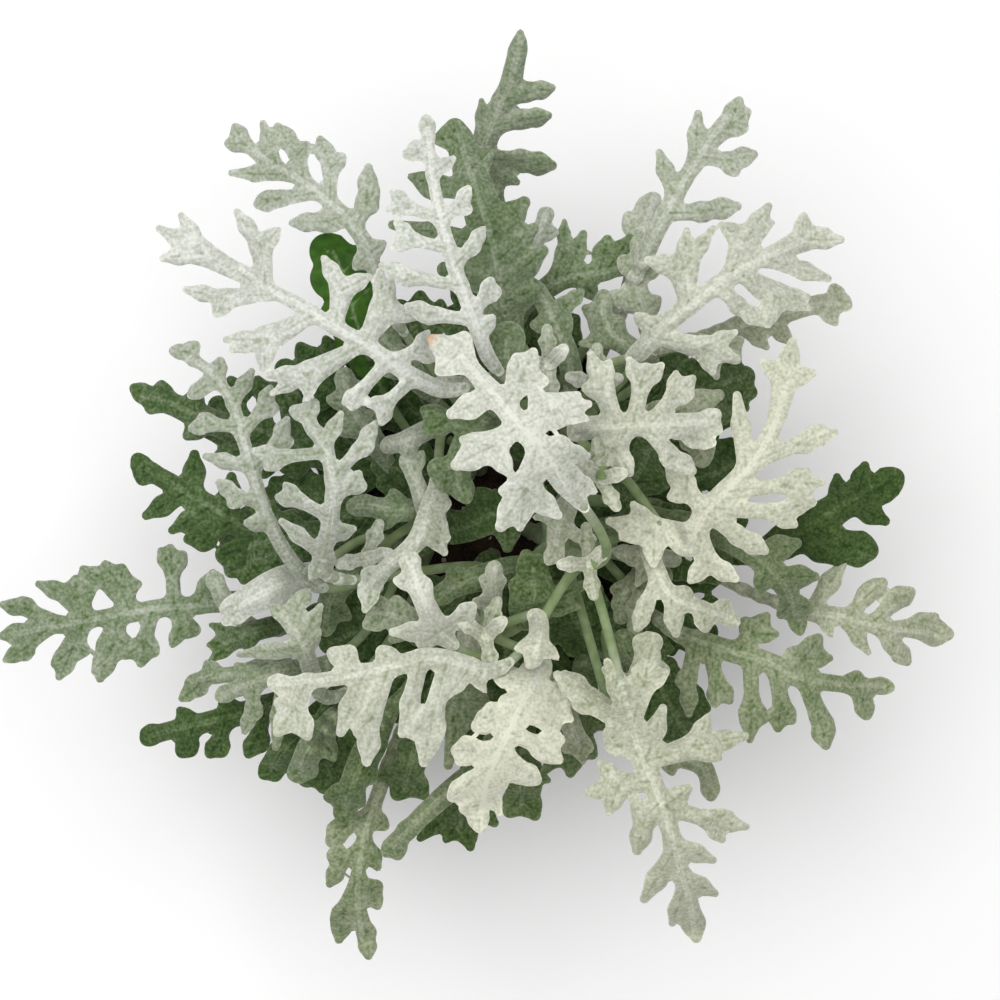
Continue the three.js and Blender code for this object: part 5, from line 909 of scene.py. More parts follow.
def natural_foot(leaf):
    """The same for a leaf with no CAD node: on its stem, lower the longer the stalk."""
    base = rib_line(leaf.rib)[0]
    lower, upper = STEM_LINES[leaf.branch]
    z = leaf.heights[0] - FIRST_DROP
    for _ in range(SETTLE_ROUNDS):
        t = np.clip((z * MM - lower[2]) / (upper[2] - lower[2]), LOWEST_SHARE, HIGHEST_SHARE)
        axis = plan_of(lower + t * (upper - lower))
        z = leaf.heights[0] - FOOT_DROP - FOOT_SLANT * np.hypot(*(base - axis[:2]))
    out = base - axis[:2]
    out = out / max(np.hypot(*out), 1e-6)
    return np.array([*(axis[:2] + FOOT_RADIUS * out), axis[2]]), out


def lift_of(leaf):
    """How far a CAD leaf was raised: the median height of its blade over the plan's height. Points
    nearest to the first rib steps are left out, because they may belong to the stalk."""
    rib = rib_line(leaf.rib)
    spine = np.column_stack([rib, rib_heights(rib, leaf.heights)])
    points = plan_of(vertices_of(leaf.name))
    away = np.hypot(points[:, None, 0] - rib[None, :, 0], points[:, None, 1] - rib[None, :, 1])
    blade = away.argmin(axis=1) > BASE_STEPS
    expected = sheet_height(spine, leaf.slopes, leaf.curl, points[:, 0], points[:, 1])
    return float(np.median((points[:, 2] - expected)[blade]))


print("the sample's foot is at", foot_of(sample)[0].round(1), "and its lift is", round(lift_of(sample), 1))

# %% [markdown]
# ## Stalk and midrib
# A leaf stalk is round, wider where it clasps the stem, and runs on under the blade as the
# midrib that stiffens it. It is one tube: from inside the stem along a sagging curve, then just
# under the blade's middle line, thinning all the way to near the tip.

# %% stalk and midrib
STALK_STEPS = 14
STALK_RADIUS = 1.35
TIP_STALK_RADIUS = 0.7
STALK_SAG = 3.0
STALK_SIDES = 10
KEEL_STEPS = int(0.85 * RIB_STEPS)
HEEL_DEPTH = 1.6
HEEL_DROP = 0.6
HEEL_FLARE = (1.45, 1.3, 1.1)
KEEL_THINNING = (0.8, 0.2)
KEEL_CLEARANCE = 0.35
BARE_STEPS = 6


def spine_of(leaf, foot, out, lift):
    """Spine rows [x, y, z] of a leaf: its stalk from the foot, then its rib. The stalk is a cubic
    Bezier on the plan and a cubic in height that meets the rib's own slope, less a sag."""
    rib = rib_line(leaf.rib)
    base = rib[0]
    direction = rib[2] - base
    direction = direction / np.hypot(*direction)
    reach = np.hypot(*(base - foot[:2]))
    t = (np.arange(STALK_STEPS) / STALK_STEPS)[:, None]
    knots = (foot[:2], foot[:2] + 0.3 * reach * out, base - 0.35 * reach * direction, base)
    shares = ((1 - t) ** 3, 3 * t * (1 - t) ** 2, 3 * t**2 * (1 - t), t**3)
    line = sum(share * knot for share, knot in zip(shares, knots))
    t = t[:, 0]
    low, middle, tip = leaf.heights
    rise = low + lift - foot[2]
    end_slope = np.clip((4 * middle - 3 * low - tip) / lengths_along(rib)[-1], -0.3, 1) * reach
    z = (foot[2] + 1.3 * rise * (t - 2 * t**2 + t**3) + rise * (3 * t**2 - 2 * t**3)
         + end_slope * (t**3 - t**2) - STALK_SAG * (4 * t * (1 - t)) ** 2)
    stalk = np.column_stack([line, z])
    blade = np.column_stack([rib, rib_heights(rib, leaf.heights) + lift])
    return np.vstack([stalk, blade])


def stalk_mesh(spine, foot, out, stalk_radius):
    """Points, faces and bareness of a stalk and midrib: a tube along the spine from a heel inside
    the stem. It sinks by its own radius as it goes in under the blade, where wool covers it."""
    heel = np.array([[*(foot[:2] - HEEL_DEPTH * out), foot[2] - HEEL_DROP]])
    path = np.vstack([heel, spine[:STALK_STEPS + KEEL_STEPS]])
    radii = np.full(len(path), stalk_radius)
    radii[:len(HEEL_FLARE)] = stalk_radius * np.array(HEEL_FLARE)
    radii[-KEEL_STEPS:] = stalk_radius * np.linspace(*KEEL_THINNING, KEEL_STEPS)
    sink = radii + KEEL_CLEARANCE
    sink[:STALK_STEPS - 1] *= np.linspace(0, 1, STALK_STEPS - 1) ** 3
    path[:, 2] -= sink
    points, faces = tube(on_ray(*path.T), radii * MM, STALK_SIDES)
    bare = np.interp(np.arange(len(path)), [0, STALK_STEPS - BARE_STEPS, STALK_STEPS], [1, 1, 0])
    return points, faces, ring_values(bare, STALK_SIDES)


sample_spine = spine_of(sample, *foot_of(sample), lift_of(sample))
print("the sample's stalk starts and ends at heights", sample_spine[[0, STALK_STEPS], 2].round(1), "mm")

# %% [markdown]
# ## The felted sheet
# A real blade is never flat: it puckers between its veins, its lobes lift or droop, and each vein
# lies in a groove with a ridge below it. All of that is added to the sheet's height. The sheet is
# two copies of the grid, thinner towards the rim and joined by a narrow wall. Its points carry
# what the finish needs: distances to rim, vein and rib in millimetres, how much wool there is,
# how warm the light green is on this side of the plant, and masks for stalk, bare green and
# scorch.

# %% felted sheet
WEB_SHARE = 0.82
NECK_STEPS = 4
PUCKER, CROSS_PUCKER, LONG_WAVE = 0.30, 0.22, 0.55
DROOP = (-3.0, 1.2)
LOBE_SPREAD = 3.6
SWELL = (-1.4, -0.3)
SWELL_WIDTH = 2.6
RIB_HOLD = 5
GROOVE_DEPTH, GROOVE_WIDTH = 0.4, 0.75
RIDGE_DEPTH, RIDGE_WIDTH = 0.3, 0.5
HALF_THICKNESS = 0.28
RIM_HALF = 0.08
RIM_ROUNDING = 0.6
WOOL_YOUNG, WOOL_OLD = 0.93, 0.08
WOOL_BELOW = 0.78
WOOL_CLOUD = 0.06
WARM_SPAN = 110.0
FRESH_LEAVES = ("leaf_northwest_green",)
SCORCHED_LEAF = "leaf_centre_silver"
SCORCH = (-20.0, 47.6)
SCORCH_SIZE = 2.6


def wool_of(tone):
    """How much wool a leaf of this tone carries, from young and white to old and green."""
    return WOOL_YOUNG + (WOOL_OLD - WOOL_YOUNG) * tone


def warmth_of(rib_points):
    """0 for leaves on the cool north-west side of the plant, 1 for the yellower south-east."""
    u, v = np.mean(rib_points, axis=0)
    return float(np.clip(0.5 + (u - v) / WARM_SPAN, 0, 1))


def with_relief(middle, lobes, x, y, vein, from_rib, phase, chance):
    """The sheet's height plus sine puckers and a Gaussian droop at each lobe, both fading to
    nothing at the rib, and less a quadratic sag away from the veins and a groove over them."""
    ripple = (PUCKER * np.sin(x / 2.3 + phase[0]) * np.sin(y / 2.6 + phase[1])
              + CROSS_PUCKER * np.sin((x + y) / 1.9 + phase[2]) * np.sin((x - y) / 2.2 + phase[3])
              + LONG_WAVE * np.sin(x / 8.0 + phase[4]) * np.sin(y / 7.0 + phase[5]))
    for teeth in lobes:
        u, v = np.mean([tooth[:2] for tooth in teeth[-2:]], axis=0)
        droop = chance.uniform(*DROOP)
        ripple += droop * np.exp(-((x - u) ** 2 + (y - v) ** 2) / (2 * LOBE_SPREAD**2))
    swell = chance.uniform(*SWELL) * np.clip(vein / SWELL_WIDTH, 0, 1.3) ** 2
    groove = GROOVE_DEPTH * np.exp(-(vein / GROOVE_WIDTH) ** 2)
    return middle + ripple * np.clip(from_rib / RIB_HOLD, 0, 1) + swell - groove


def sheet_mesh(leaf, spine, chance):
    """Points in metres, faces and attributes of one leaf sheet: a top, a bottom and a wall."""
    web = leaf.web * WEB_SHARE
    strokes = blade_strokes(rib_line(leaf.rib), web, leaf.lobes)
    neck = spine[STALK_STEPS - NECK_STEPS:STALK_STEPS + 1, :2]
    width = np.linspace(STALK_RADIUS, web, NECK_STEPS + 1)
    wing = [[*neck[i], *neck[i + 1], width[i], width[i + 1], 0] for i in range(NECK_STEPS)]
    strokes = np.vstack([strokes, wing])
    x, y, rim, quads, triangles = fill_outline(strokes)
    kept = keep_largest(len(x), quads, triangles)
    renumber = np.cumsum(kept) - 1
    quads = renumber[quads[kept[quads[:, 0]]]]
    triangles = renumber[triangles[kept[triangles[:, 0]]]]
    x, y, rim = x[kept], y[kept], rim[kept]
    field, vein, from_rib = blade_field(strokes, x, y)
    inward = np.clip(-field, 0, None)

    phase = chance.uniform(0, 2 * np.pi, 6)
    middle = sheet_height(spine[STALK_STEPS - NECK_STEPS:], leaf.slopes, leaf.curl, x, y)
    middle = with_relief(middle, leaf.lobes, x, y, vein, from_rib, phase, chance)
    rounding = np.sqrt(1 - (1 - np.clip(inward / RIM_ROUNDING, 0, 1)) ** 2)
    half = RIM_HALF + (HALF_THICKNESS - RIM_HALF) * np.where(rim, 0, rounding)
    ridge = RIDGE_DEPTH * np.exp(-(vein / RIDGE_WIDTH) ** 2) * np.clip(inward, 0, 1)
    points = np.vstack([on_ray(x, y, middle + half), on_ray(x, y, middle - half - ridge)])
    count = len(x)
    faces = quads.tolist() + triangles.tolist()
    faces += (count + quads[:, ::-1]).tolist() + (count + triangles[:, ::-1]).tolist()
    faces += wall_between(quads, triangles, count)

    cloud = (0.5 * np.sin(x / 4.3 + phase[1]) * np.sin(y / 5.1 + phase[0])
             + 0.5 * np.sin((x - y) / 7.0 + phase[4]))
    wool = wool_of(leaf.tone) + WOOL_CLOUD * cloud
    blank = np.zeros(count)
    if leaf.name == SCORCHED_LEAF:
        scorch = np.exp(-((x - SCORCH[0]) ** 2 + (y - SCORCH[1]) ** 2) / SCORCH_SIZE**2)
    else:
        scorch = blank
    both_sides = {"edge_mm": inward, "vein_mm": vein, "rib_mm": from_rib, "tone": blank + leaf.tone,
                  "stalk": blank, "warm": blank + warmth_of(leaf.rib),
                  "fresh": blank + (leaf.name in FRESH_LEAVES), "scorch": scorch}
    attributes = {key: np.concatenate([values, values]) for key, values in both_sides.items()}
    attributes["wool"] = np.concatenate([wool, np.maximum(wool, WOOL_BELOW)])
    return points, faces, attributes


sample_points, sample_faces, _ = sheet_mesh(sample, sample_spine, np.random.default_rng(0))
print("the sample's sheet has", len(sample_points), "points and", len(sample_faces), "faces")

# %% [markdown]
# ## Every leaf
# A leaf's sheet and its stalk become one object, since they are one grown piece. The stalk's
# points get the same attributes as the sheet's, so that one finish serves both.

# %% every leaf
FAR_INSIDE = 2.0
STALK_WARMTH = 0.5
triangle_count = 0
leaf_objects = []
for number, leaf in enumerate(LEAVES):
    if leaf.name in SCENE_ONLY:
        foot, out = natural_foot(leaf)
        lift = 0.0
    else:
        foot, out = foot_of(leaf)
        lift = lift_of(leaf)
    spine = spine_of(leaf, foot, out, lift)
    points, faces, attributes = sheet_mesh(leaf, spine, np.random.default_rng(number))
    stalk_radius = TIP_STALK_RADIUS if leaf.name.startswith("leaf_tip") else STALK_RADIUS
    stalk_points, stalk_faces, bare = stalk_mesh(spine, foot, out, stalk_radius)
    faces += [[i + len(points) for i in face] for face in stalk_faces]
    on_stalk = {"edge_mm": FAR_INSIDE, "vein_mm": FAR_INSIDE, "rib_mm": FAR_INSIDE, "tone": leaf.tone,
                "stalk": bare, "warm": STALK_WARMTH, "fresh": 0.0, "scorch": 0.0,
                "wool": wool_of(leaf.tone)}
    attributes = {key: np.concatenate([values, np.broadcast_to(on_stalk[key], len(stalk_points))])
                  for key, values in attributes.items()}
    made = make_object(leaf.name + "_felted", np.vstack([points, stalk_points]), faces, attributes)
    if leaf.name not in SCENE_ONLY:
        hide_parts(leaf.name)
    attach(made, "root")
    leaf_objects.append(made)
    triangle_count += sum(len(face) - 2 for face in faces)
print(len(leaf_objects), "leaves with", triangle_count, "triangles")

# %% [markdown]
# ## Stems
# Soft shoots, thicker and a little woody at the soil, with a swollen ring and a pale scar at each
# old leaf. They are tapered tubes round the same lines as the CAD stems, rounded off at the top.

# %% stems
STEM_RINGS = 90
STEM_SIDES = 24
SCAR_SPACING = 9.0
SCAR_SWELL, SCAR_WIDTH = 0.28, 0.07
STEM_RADIUS, STEM_TAPER = 2.45, 0.75
END_ROUNDING = 40
stem_objects = []
for branch, (lower, upper) in STEM_LINES.items():
    s = np.linspace(0, 1, STEM_RINGS)
    length = np.linalg.norm(upper - lower) / MM
    path = lower + s[:, None] * (upper - lower)
    phase = random.uniform(0, 1)
    ring = (s * length / SCAR_SPACING + phase) % 1
    radii = STEM_RADIUS - STEM_TAPER * s + SCAR_SWELL * np.exp(-((ring - 0.5) / SCAR_WIDTH) ** 2)
    radii *= np.sqrt(np.clip((1 - s) * END_ROUNDING, 0.02, 1))
    points, faces = tube(path, radii * MM, STEM_SIDES)
    attributes = {"ring": ring_values(ring, STEM_SIDES), "up": ring_values(s, STEM_SIDES)}
    made = make_object(f"stem_{branch}_shoot", points, faces, attributes)
    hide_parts("stem_" + branch)
    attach(made, "root")
    stem_objects.append(made)
print(len(stem_objects), "stems")

# %% [markdown]
# ## Potting mix
# Coarse dark peat and bark, mounded a little to the middle. The bed is rings of points round the
# axis whose heights are summed sine waves, with a flat underside. It keeps the size of the CAD
# soil, so that it fills the pot.

# %% bed of potting mix
BED_RINGS, BED_SPOKES = 60, 180
BED_DROP = 0.9
LUMP, SMALL_LUMP, WIDE_LUMP = 0.35, 0.25, 0.5
soil = vertices_of("potting_soil")
soil_top = soil[:, 2].max() / MM
soil_bottom = soil[:, 2].min() / MM
soil_radius = np.hypot(soil[:, 0], soil[:, 1]).max() / MM
soil_low_radius = np.hypot(*soil[soil[:, 2] < (soil_bottom + 1) * MM, :2].T).max() / MM
soil_edge = soil[np.hypot(soil[:, 0], soil[:, 1]) > (soil_radius - 0.5) * MM, 2].max() / MM


def bed_height(x, y):
    """Height of the bed in mm: a paraboloid from the middle to the edge, with sine lumps of three
    sizes that fade to nothing at the pot's wall."""
    r = np.hypot(x, y) / soil_radius
    lumps = (LUMP * np.sin(x / 2.1) * np.sin(y / 1.9 + 1)
             + SMALL_LUMP * np.sin((x + y) / 1.1) * np.sin((x - y) / 1.3)
             + WIDE_LUMP * np.sin(x / 6.0 + 2) * np.sin(y / 5.2))
    return soil_top - BED_DROP - (soil_top - soil_edge) * r**2 + lumps * (1 - r**6)


radius = np.linspace(0, soil_radius, BED_RINGS + 1)[1:, None]
turn = np.arange(BED_SPOKES) * 2 * np.pi / BED_SPOKES
x, y = radius * np.cos(turn), radius * np.sin(turn)
surface = np.stack([x, y, bed_height(x, y)], axis=-1).reshape(-1, 3)
underside = np.column_stack([soil_low_radius * np.cos(turn), soil_low_radius * np.sin(turn),
                             np.full(BED_SPOKES, soil_bottom)])
poles = [[0, 0, float(bed_height(0.0, 0.0))], [0, 0, soil_bottom]]
points = np.vstack([surface, underside, poles])

# these rings run from the middle outwards, so their faces are turned over to point outwards
faces = [face[:1] + face[:0:-1] for face in ring_faces(BED_RINGS + 1, BED_SPOKES)]
bed = make_object("potting_mix_bed", points * MM, faces, {"grain": np.zeros(len(points))})
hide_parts("potting_soil")
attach(bed, "root")
print("bed", round(2 * soil_radius, 1), "mm across and", round(soil_top - soil_bottom, 1), "mm deep")

# %% [markdown]
# ### Crumbs and perlite
# Loose crumbs of peat lie on the bed, and about one in eight is a white grain of perlite. Each is
# an icosahedron, stretched and dented by chance, because a shape that is strewn by the hundred
# should have only a few faces.

# %% crumbs and perlite
CRUMBS = 420
PERLITE_SHARE = 0.12
EDGE_GAP = 2
CRUMB_RISE = 0.25
GOLDEN = (1 + 5**0.5) / 2
ICO_POINTS = np.array([(-1, GOLDEN, 0), (1, GOLDEN, 0), (-1, -GOLDEN, 0), (1, -GOLDEN, 0), (0, -1, GOLDEN),
                       (0, 1, GOLDEN), (0, -1, -GOLDEN), (0, 1, -GOLDEN), (GOLDEN, 0, -1),
                       (GOLDEN, 0, 1), (-GOLDEN, 0, -1), (-GOLDEN, 0, 1)]) / np.hypot(1, GOLDEN)
ICO_FACES = np.array([(0, 11, 5), (0, 5, 1), (0, 1, 7), (0, 7, 10), (0, 10, 11), (1, 5, 9), (5, 11, 4),
                      (11, 10, 2), (10, 7, 6), (7, 1, 8), (3, 9, 4), (3, 4, 2), (3, 2, 6), (3, 6, 8),
                      (3, 8, 9), (4, 9, 5), (2, 4, 11), (6, 2, 10), (8, 6, 7), (9, 8, 1)])
place = np.sqrt(random.uniform(0, 1, CRUMBS)) * (soil_radius - EDGE_GAP)
turn = random.uniform(0, 2 * np.pi, CRUMBS)
white = random.uniform(0, 1, CRUMBS) < PERLITE_SHARE
size = random.uniform(0.5, 1.5, CRUMBS)
stretch = random.uniform(0.6, 1.4, (CRUMBS, 1, 3))
dents = random.uniform(0.75, 1.2, (CRUMBS, len(ICO_POINTS), 1))
x, y = place * np.cos(turn), place * np.sin(turn)
centres = np.stack([x, y, bed_height(x, y) + CRUMB_RISE * size], axis=1)
points = centres[:, None] + ICO_POINTS[None] * stretch * dents * size[:, None, None]
faces = ICO_FACES[None] + len(ICO_POINTS) * np.arange(CRUMBS)[:, None, None]
grain = np.repeat(np.where(white, 1.0, 0.5), len(ICO_POINTS))
crumbs = make_object("potting_mix_crumbs", points.reshape(-1, 3) * MM, faces.reshape(-1, 3).tolist(),
                     {"grain": grain})
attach(crumbs, "root")
print(CRUMBS, "crumbs,", white.sum(), "of them perlite")

# %% [markdown]
# ## Nursery pot
# A thin moulded pot: tapered wall, a rolled rim band that lets pots stack, a foot ring that lifts
# the floor, and five drain holes. The wall is a profile turned round the axis, drawn up the
# outside and down the inside, so that it is one closed shell. Its sizes come from the CAD pot.

# %% nursery pot
pot_points = vertices_of("nursery_pot") / MM
reach = np.hypot(pot_points[:, 0], pot_points[:, 1])
RIM_RADIUS = reach.max()
BASE_RADIUS = reach[pot_points[:, 2] < 0.5].max()
POT_HEIGHT = pot_points[:, 2].max()
WALL, FLOOR, BAND, LIP = 1.3, 2.0, 9.0, 1.5
FOOT_LIFT = 0.6
WALL_STEPS = 12
POT_SPOKES = 160
POT_SHARP_ANGLE = math.radians(35)


def wall_at(z):
    """Outer radius of the tapered wall at height z, on the straight line from base to rim."""
    return BASE_RADIUS + (RIM_RADIUS - LIP - BASE_RADIUS) * z / POT_HEIGHT


band_radius = RIM_RADIUS - 0.5
foot_ring = [[0, FOOT_LIFT], [BASE_RADIUS - 6, FOOT_LIFT], [BASE_RADIUS - 4.5, 0], [BASE_RADIUS - 1.2, 0],
             [BASE_RADIUS - 0.3, 0.3], [BASE_RADIUS + 0.1, 1.2]]
outer_wall = [[wall_at(z), z] for z in np.linspace(4, POT_HEIGHT - BAND - 0.8, WALL_STEPS)]
rim_band = [[band_radius - 0.3, POT_HEIGHT - BAND - 0.3], [band_radius, POT_HEIGHT - BAND + 0.2],
            [band_radius + 0.1, POT_HEIGHT - 2.2], [RIM_RADIUS, POT_HEIGHT - 1.6],
            [RIM_RADIUS, POT_HEIGHT - 0.5], [RIM_RADIUS - 0.4, POT_HEIGHT],
            [RIM_RADIUS - WALL - 0.2, POT_HEIGHT], [RIM_RADIUS - WALL - 0.6, POT_HEIGHT - 0.6]]
inner_wall = [[wall_at(z) - WALL, z] for z in np.linspace(POT_HEIGHT - BAND - 1.2, FLOOR + 1, WALL_STEPS)]
floor_inside = [[wall_at(FLOOR) - WALL - 1.2, FLOOR], [0, FLOOR]]
profile = np.array(foot_ring + outer_wall + rim_band + inner_wall + floor_inside)

turn = np.arange(POT_SPOKES) * 2 * np.pi / POT_SPOKES
ring = profile[1:-1]
points = np.stack([ring[:, None, 0] * np.cos(turn), ring[:, None, 0] * np.sin(turn),
                   np.repeat(ring[:, 1:2], POT_SPOKES, axis=1)], axis=-1).reshape(-1, 3)
points = np.vstack([points, [[0, 0, profile[0, 1]], [0, 0, profile[-1, 1]]]])
pot = make_object("nursery_pot_moulded", points * MM, ring_faces(len(ring), POT_SPOKES))
print("pot", round(2 * RIM_RADIUS, 1), "mm across and", round(POT_HEIGHT, 1), "mm tall")

# %% [markdown]
# ### Drain holes
# Moulded holes have crisp edges, so each is cut with a short rod by a Boolean modifier. The
# result is stored in the pot's own mesh and the rod is removed, which leaves nothing to compute
# again later. The pot is then shaded smooth, except over its edges.

# %% drain holes
DRAINS = 5
DRAIN_RADIUS, DRAIN_CIRCLE = 4.0, 24.0
DRAIN_SIDES = 40
OVERCUT = 3.0
for k in range(DRAINS):
    turn = 2 * math.pi * k / DRAINS
    x, y = DRAIN_CIRCLE * math.cos(turn), DRAIN_CIRCLE * math.sin(turn)
    rod_path = np.array([[x, y, -OVERCUT], [x, y, 1.0], [x, y, FLOOR + OVERCUT]]) * MM
    rod_points, rod_faces = tube(rod_path, np.full(3, DRAIN_RADIUS * MM), DRAIN_SIDES)
    rod = make_object(f"drain_rod_{k + 1}", rod_points, rod_faces)
    cut = pot.modifiers.new("drain", "BOOLEAN")
    cut.operation, cut.solver, cut.object = "DIFFERENCE", "EXACT", rod
    bpy.context.view_layer.update()
    cut_mesh = bpy.data.meshes.new_from_object(pot.evaluated_get(bpy.context.evaluated_depsgraph_get()))
    pot.modifiers.clear()
    pot.data = cut_mesh
    bpy.data.objects.remove(rod)
pot.data.shade_smooth()
pot.data.set_sharp_from_angle(angle=POT_SHARP_ANGLE)
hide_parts("nursery_pot")
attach(pot, "root")
print("pot with", DRAINS, "drain holes,", len(pot.data.polygons), "faces")

# %% [markdown]
# ## Finishes
# Every finish is mixed from noise at real sizes, in the object's own coordinates (metres), and
# from what each piece carries on its points. Colours are written as sRGB hex values, as a paint
# chart gives them, and one function turns them to the linear values that Blender computes with.
# A noise blob is about half a noise cell wide, so Scale 500 gives blobs 1 mm across, and 500
# divided by a size in millimetres gives blobs of that size.

# %% colours and nodes
def linear(hex_color):
    """An sRGB hex colour as linear RGB with alpha 1."""
    parts = [int(hex_color[i:i + 2], 16) / 255 for i in (1, 3, 5)]
    return tuple(c / 12.92 if c < 0.04045 else ((c + 0.055) / 1.055) ** 2.4 for c in parts) + (1.0,)


def add_node(tree, kind, inputs=None, **settings):
    """Adds a node, sets its properties, and fills each named input with a value or a link."""
    node = tree.nodes.new(kind)
    for key, value in settings.items():
        setattr(node, key, value)
    for key, value in (inputs or {}).items():
        if isinstance(value, bpy.types.NodeSocket):
            tree.links.new(value, node.inputs[key])
        else:
            node.inputs[key].default_value = value
    return node


def start_material(name):
    """A material with only its output node: (material, tree, output node)."""
    material = bpy.data.materials.new(name)
    material.use_nodes = True
    material.node_tree.nodes.clear()
    return material, material.node_tree, material.node_tree.nodes.new("ShaderNodeOutputMaterial")


MATH, MAP, MIX, NOISE = "ShaderNodeMath", "ShaderNodeMapRange", "ShaderNodeMix", "ShaderNodeTexNoise"

# a Mix node's colour sockets share their names with hidden ones, so they go by number
FACTOR, FIRST, SECOND, MIXED = 0, 6, 7, 2
BLOB_1MM = 500.0
print("mid grey #808080 is", round(linear("#808080")[0], 3), "in linear light")

# %% [markdown]
# ### Silver felt
# The leaf is green under white wool. Young leaves carry so much wool that they are nearly white;
# old ones have lost most of it. Wool is caught on the raised rib. The rim is painted whiter, partly
# for the wool caught there and partly as a painted highlight where light catches the edge. The
# sunken side veins are painted darker, as painted shade in their grooves, and wool is missing from
# a fine net between them, which reads as pencil-grey lines on the white. Each leaf's points say how
# much wool it has, and the noises add the patchy nap. One ramp then turns wool into colour. Matt
# hairs scatter light at a flat angle, which is what the sheen is for. Real hairs are finer than the
# render shows, so the nap is drawn 0.45 mm wide.

# %% felted leaf
leaf_finish, tree, output = start_material("silver_felted_leaf")
position = add_node(tree, "ShaderNodeTexCoord").outputs["Object"]
wool, tone, edge, vein, rib, stalk, scorch, fresh, warm = (
    add_node(tree, "ShaderNodeAttribute", attribute_name=key).outputs["Fac"]
    for key in ("wool", "tone", "edge_mm", "vein_mm", "rib_mm", "stalk", "scorch", "fresh", "warm"))
patches = add_node(tree, NOISE, {"Vector": position, "Scale": BLOB_1MM / 1.5, "Detail": 1.0}).outputs["Fac"]
nap = add_node(tree, NOISE, {"Vector": position, "Scale": BLOB_1MM / 0.45, "Detail": 0.0}).outputs["Fac"]

# each term is added to the wool: nap, patches, rim (partly a painted highlight), rib, sunken vein
# (painted shade in its groove), net between the veins
away = add_node(tree, MATH, {0: patches, 1: 0.5}, operation="SUBTRACT").outputs[0]
from_line = add_node(tree, MATH, {0: away}, operation="ABSOLUTE").outputs[0]
for source, low, high, at_low, at_high in (
        (nap, 0.3, 0.7, -0.08, 0.08), (patches, 0.3, 0.7, -0.05, 0.05), (edge, 0.1, 0.5, 0.08, 0.0),
        (rib, 0.3, 0.9, 0.26, 0.0), (vein, 0.2, 0.7, -0.19, 0.0), (from_line, 0.0, 0.03, -0.05, 0.0)):
    term = add_node(tree, MAP, {"Value": source, "From Min": low, "From Max": high,
                                "To Min": at_low, "To Max": at_high}).outputs["Result"]
    wool = add_node(tree, MATH, {0: wool, 1: term}, operation="ADD").outputs[0]
ramp = add_node(tree, "ShaderNodeValToRGB", {"Fac": wool})
stops = ramp.color_ramp.elements
stops[0].position, stops[0].color = 0.0, linear("#2b411f")
stops[1].position, stops[1].color = 1.0, linear("#dbddd5")
for where, paint in ((0.2, "#4a6036"), (0.42, "#768566"), (0.65, "#a3a997"), (0.85, "#c4c7be")):
    stops.new(where).color = linear(paint)
warmed = add_node(tree, MIX, {FACTOR: warm, FIRST: ramp.outputs["Color"], SECOND: linear("#faf9eb")},
                  data_type="RGBA", blend_type="MULTIPLY").outputs[MIXED]

# bare green: stalks, and the one leaf with no wool at all, whose veins show pale
stalk_color = add_node(tree, MIX, {FACTOR: patches, FIRST: linear("#5f7444"), SECOND: linear("#93a27a")},
                       data_type="RGBA").outputs[MIXED]
pale_vein = add_node(tree, MAP, {"Value": vein, "From Min": 0.1, "From Max": 0.6,
                                 "To Min": 0.7, "To Max": 0.0}).outputs["Result"]
bare = add_node(tree, MIX, {FACTOR: patches, FIRST: linear("#1f3f10"), SECOND: linear("#547f30")},
                data_type="RGBA").outputs[MIXED]
bare = add_node(tree, MIX, {FACTOR: pale_vein, FIRST: bare, SECOND: linear("#93a97e")},
                data_type="RGBA").outputs[MIXED]

# a cream rim on the young leaves only
rim = add_node(tree, MAP, {"Value": edge, "From Max": 0.6, "To Min": 0.3, "To Max": 0.0}).outputs["Result"]
young = add_node(tree, MAP, {"Value": tone, "From Max": 0.3, "To Min": 1.0, "To Max": 0.0}).outputs["Result"]
cream = add_node(tree, MATH, {0: rim, 1: young}, operation="MULTIPLY").outputs[0]

color = warmed
for share, layer in ((stalk, stalk_color), (fresh, bare), (cream, linear("#dfdfc2")),
                     (scorch, linear("#b5763a"))):
    color = add_node(tree, MIX, {FACTOR: share, FIRST: color, SECOND: layer},
                     data_type="RGBA").outputs[MIXED]
bump = add_node(tree, "ShaderNodeBump", {"Height": nap, "Strength": 0.6, "Distance": 0.15 * MM})
shader = add_node(tree, "ShaderNodeBsdfPrincipled", {
    "Base Color": color, "Normal": bump.outputs["Normal"], "Roughness": 0.9, "IOR": 1.4,
    "Specular IOR Level": 0.25, "Sheen Weight": 0.2, "Sheen Roughness": 0.45})
tree.links.new(shader.outputs["BSDF"], output.inputs["Surface"])
print("felted leaf:", len(tree.nodes), "nodes")

# %% [markdown]
# ### Young shoot
# The shoots are pale green and thinly felted, browner near the soil where the bark begins, with a
# dull pale ring at each old leaf scar. They are matt, with a little sheen from the short hairs.

# %% young shoot
stem_finish, tree, output = start_material("young_green_shoot")
position = add_node(tree, "ShaderNodeTexCoord").outputs["Object"]
ring, up = (add_node(tree, "ShaderNodeAttribute", attribute_name=key).outputs["Fac"]
            for key in ("ring", "up"))
patches = add_node(tree, NOISE, {"Vector": position, "Scale": BLOB_1MM / 1.6, "Detail": 3.0}).outputs["Fac"]
hairs = add_node(tree, NOISE, {"Vector": position, "Scale": BLOB_1MM / 0.2, "Detail": 1.0}).outputs["Fac"]
woody = add_node(tree, MAP, {"Value": up, "From Max": 0.35, "To Min": 0.75, "To Max": 0.0}).outputs["Result"]
away = add_node(tree, MATH, {0: ring, 1: 0.5}, operation="SUBTRACT").outputs[0]
from_scar = add_node(tree, MATH, {0: away}, operation="ABSOLUTE").outputs[0]
scar = add_node(tree, MAP, {"Value": from_scar, "From Max": 0.08, "To Min": 0.5, "To Max": 0.0})
color = add_node(tree, MIX, {FACTOR: patches, FIRST: linear("#6f8350"), SECOND: linear("#a3b08a")},
                 data_type="RGBA").outputs[MIXED]
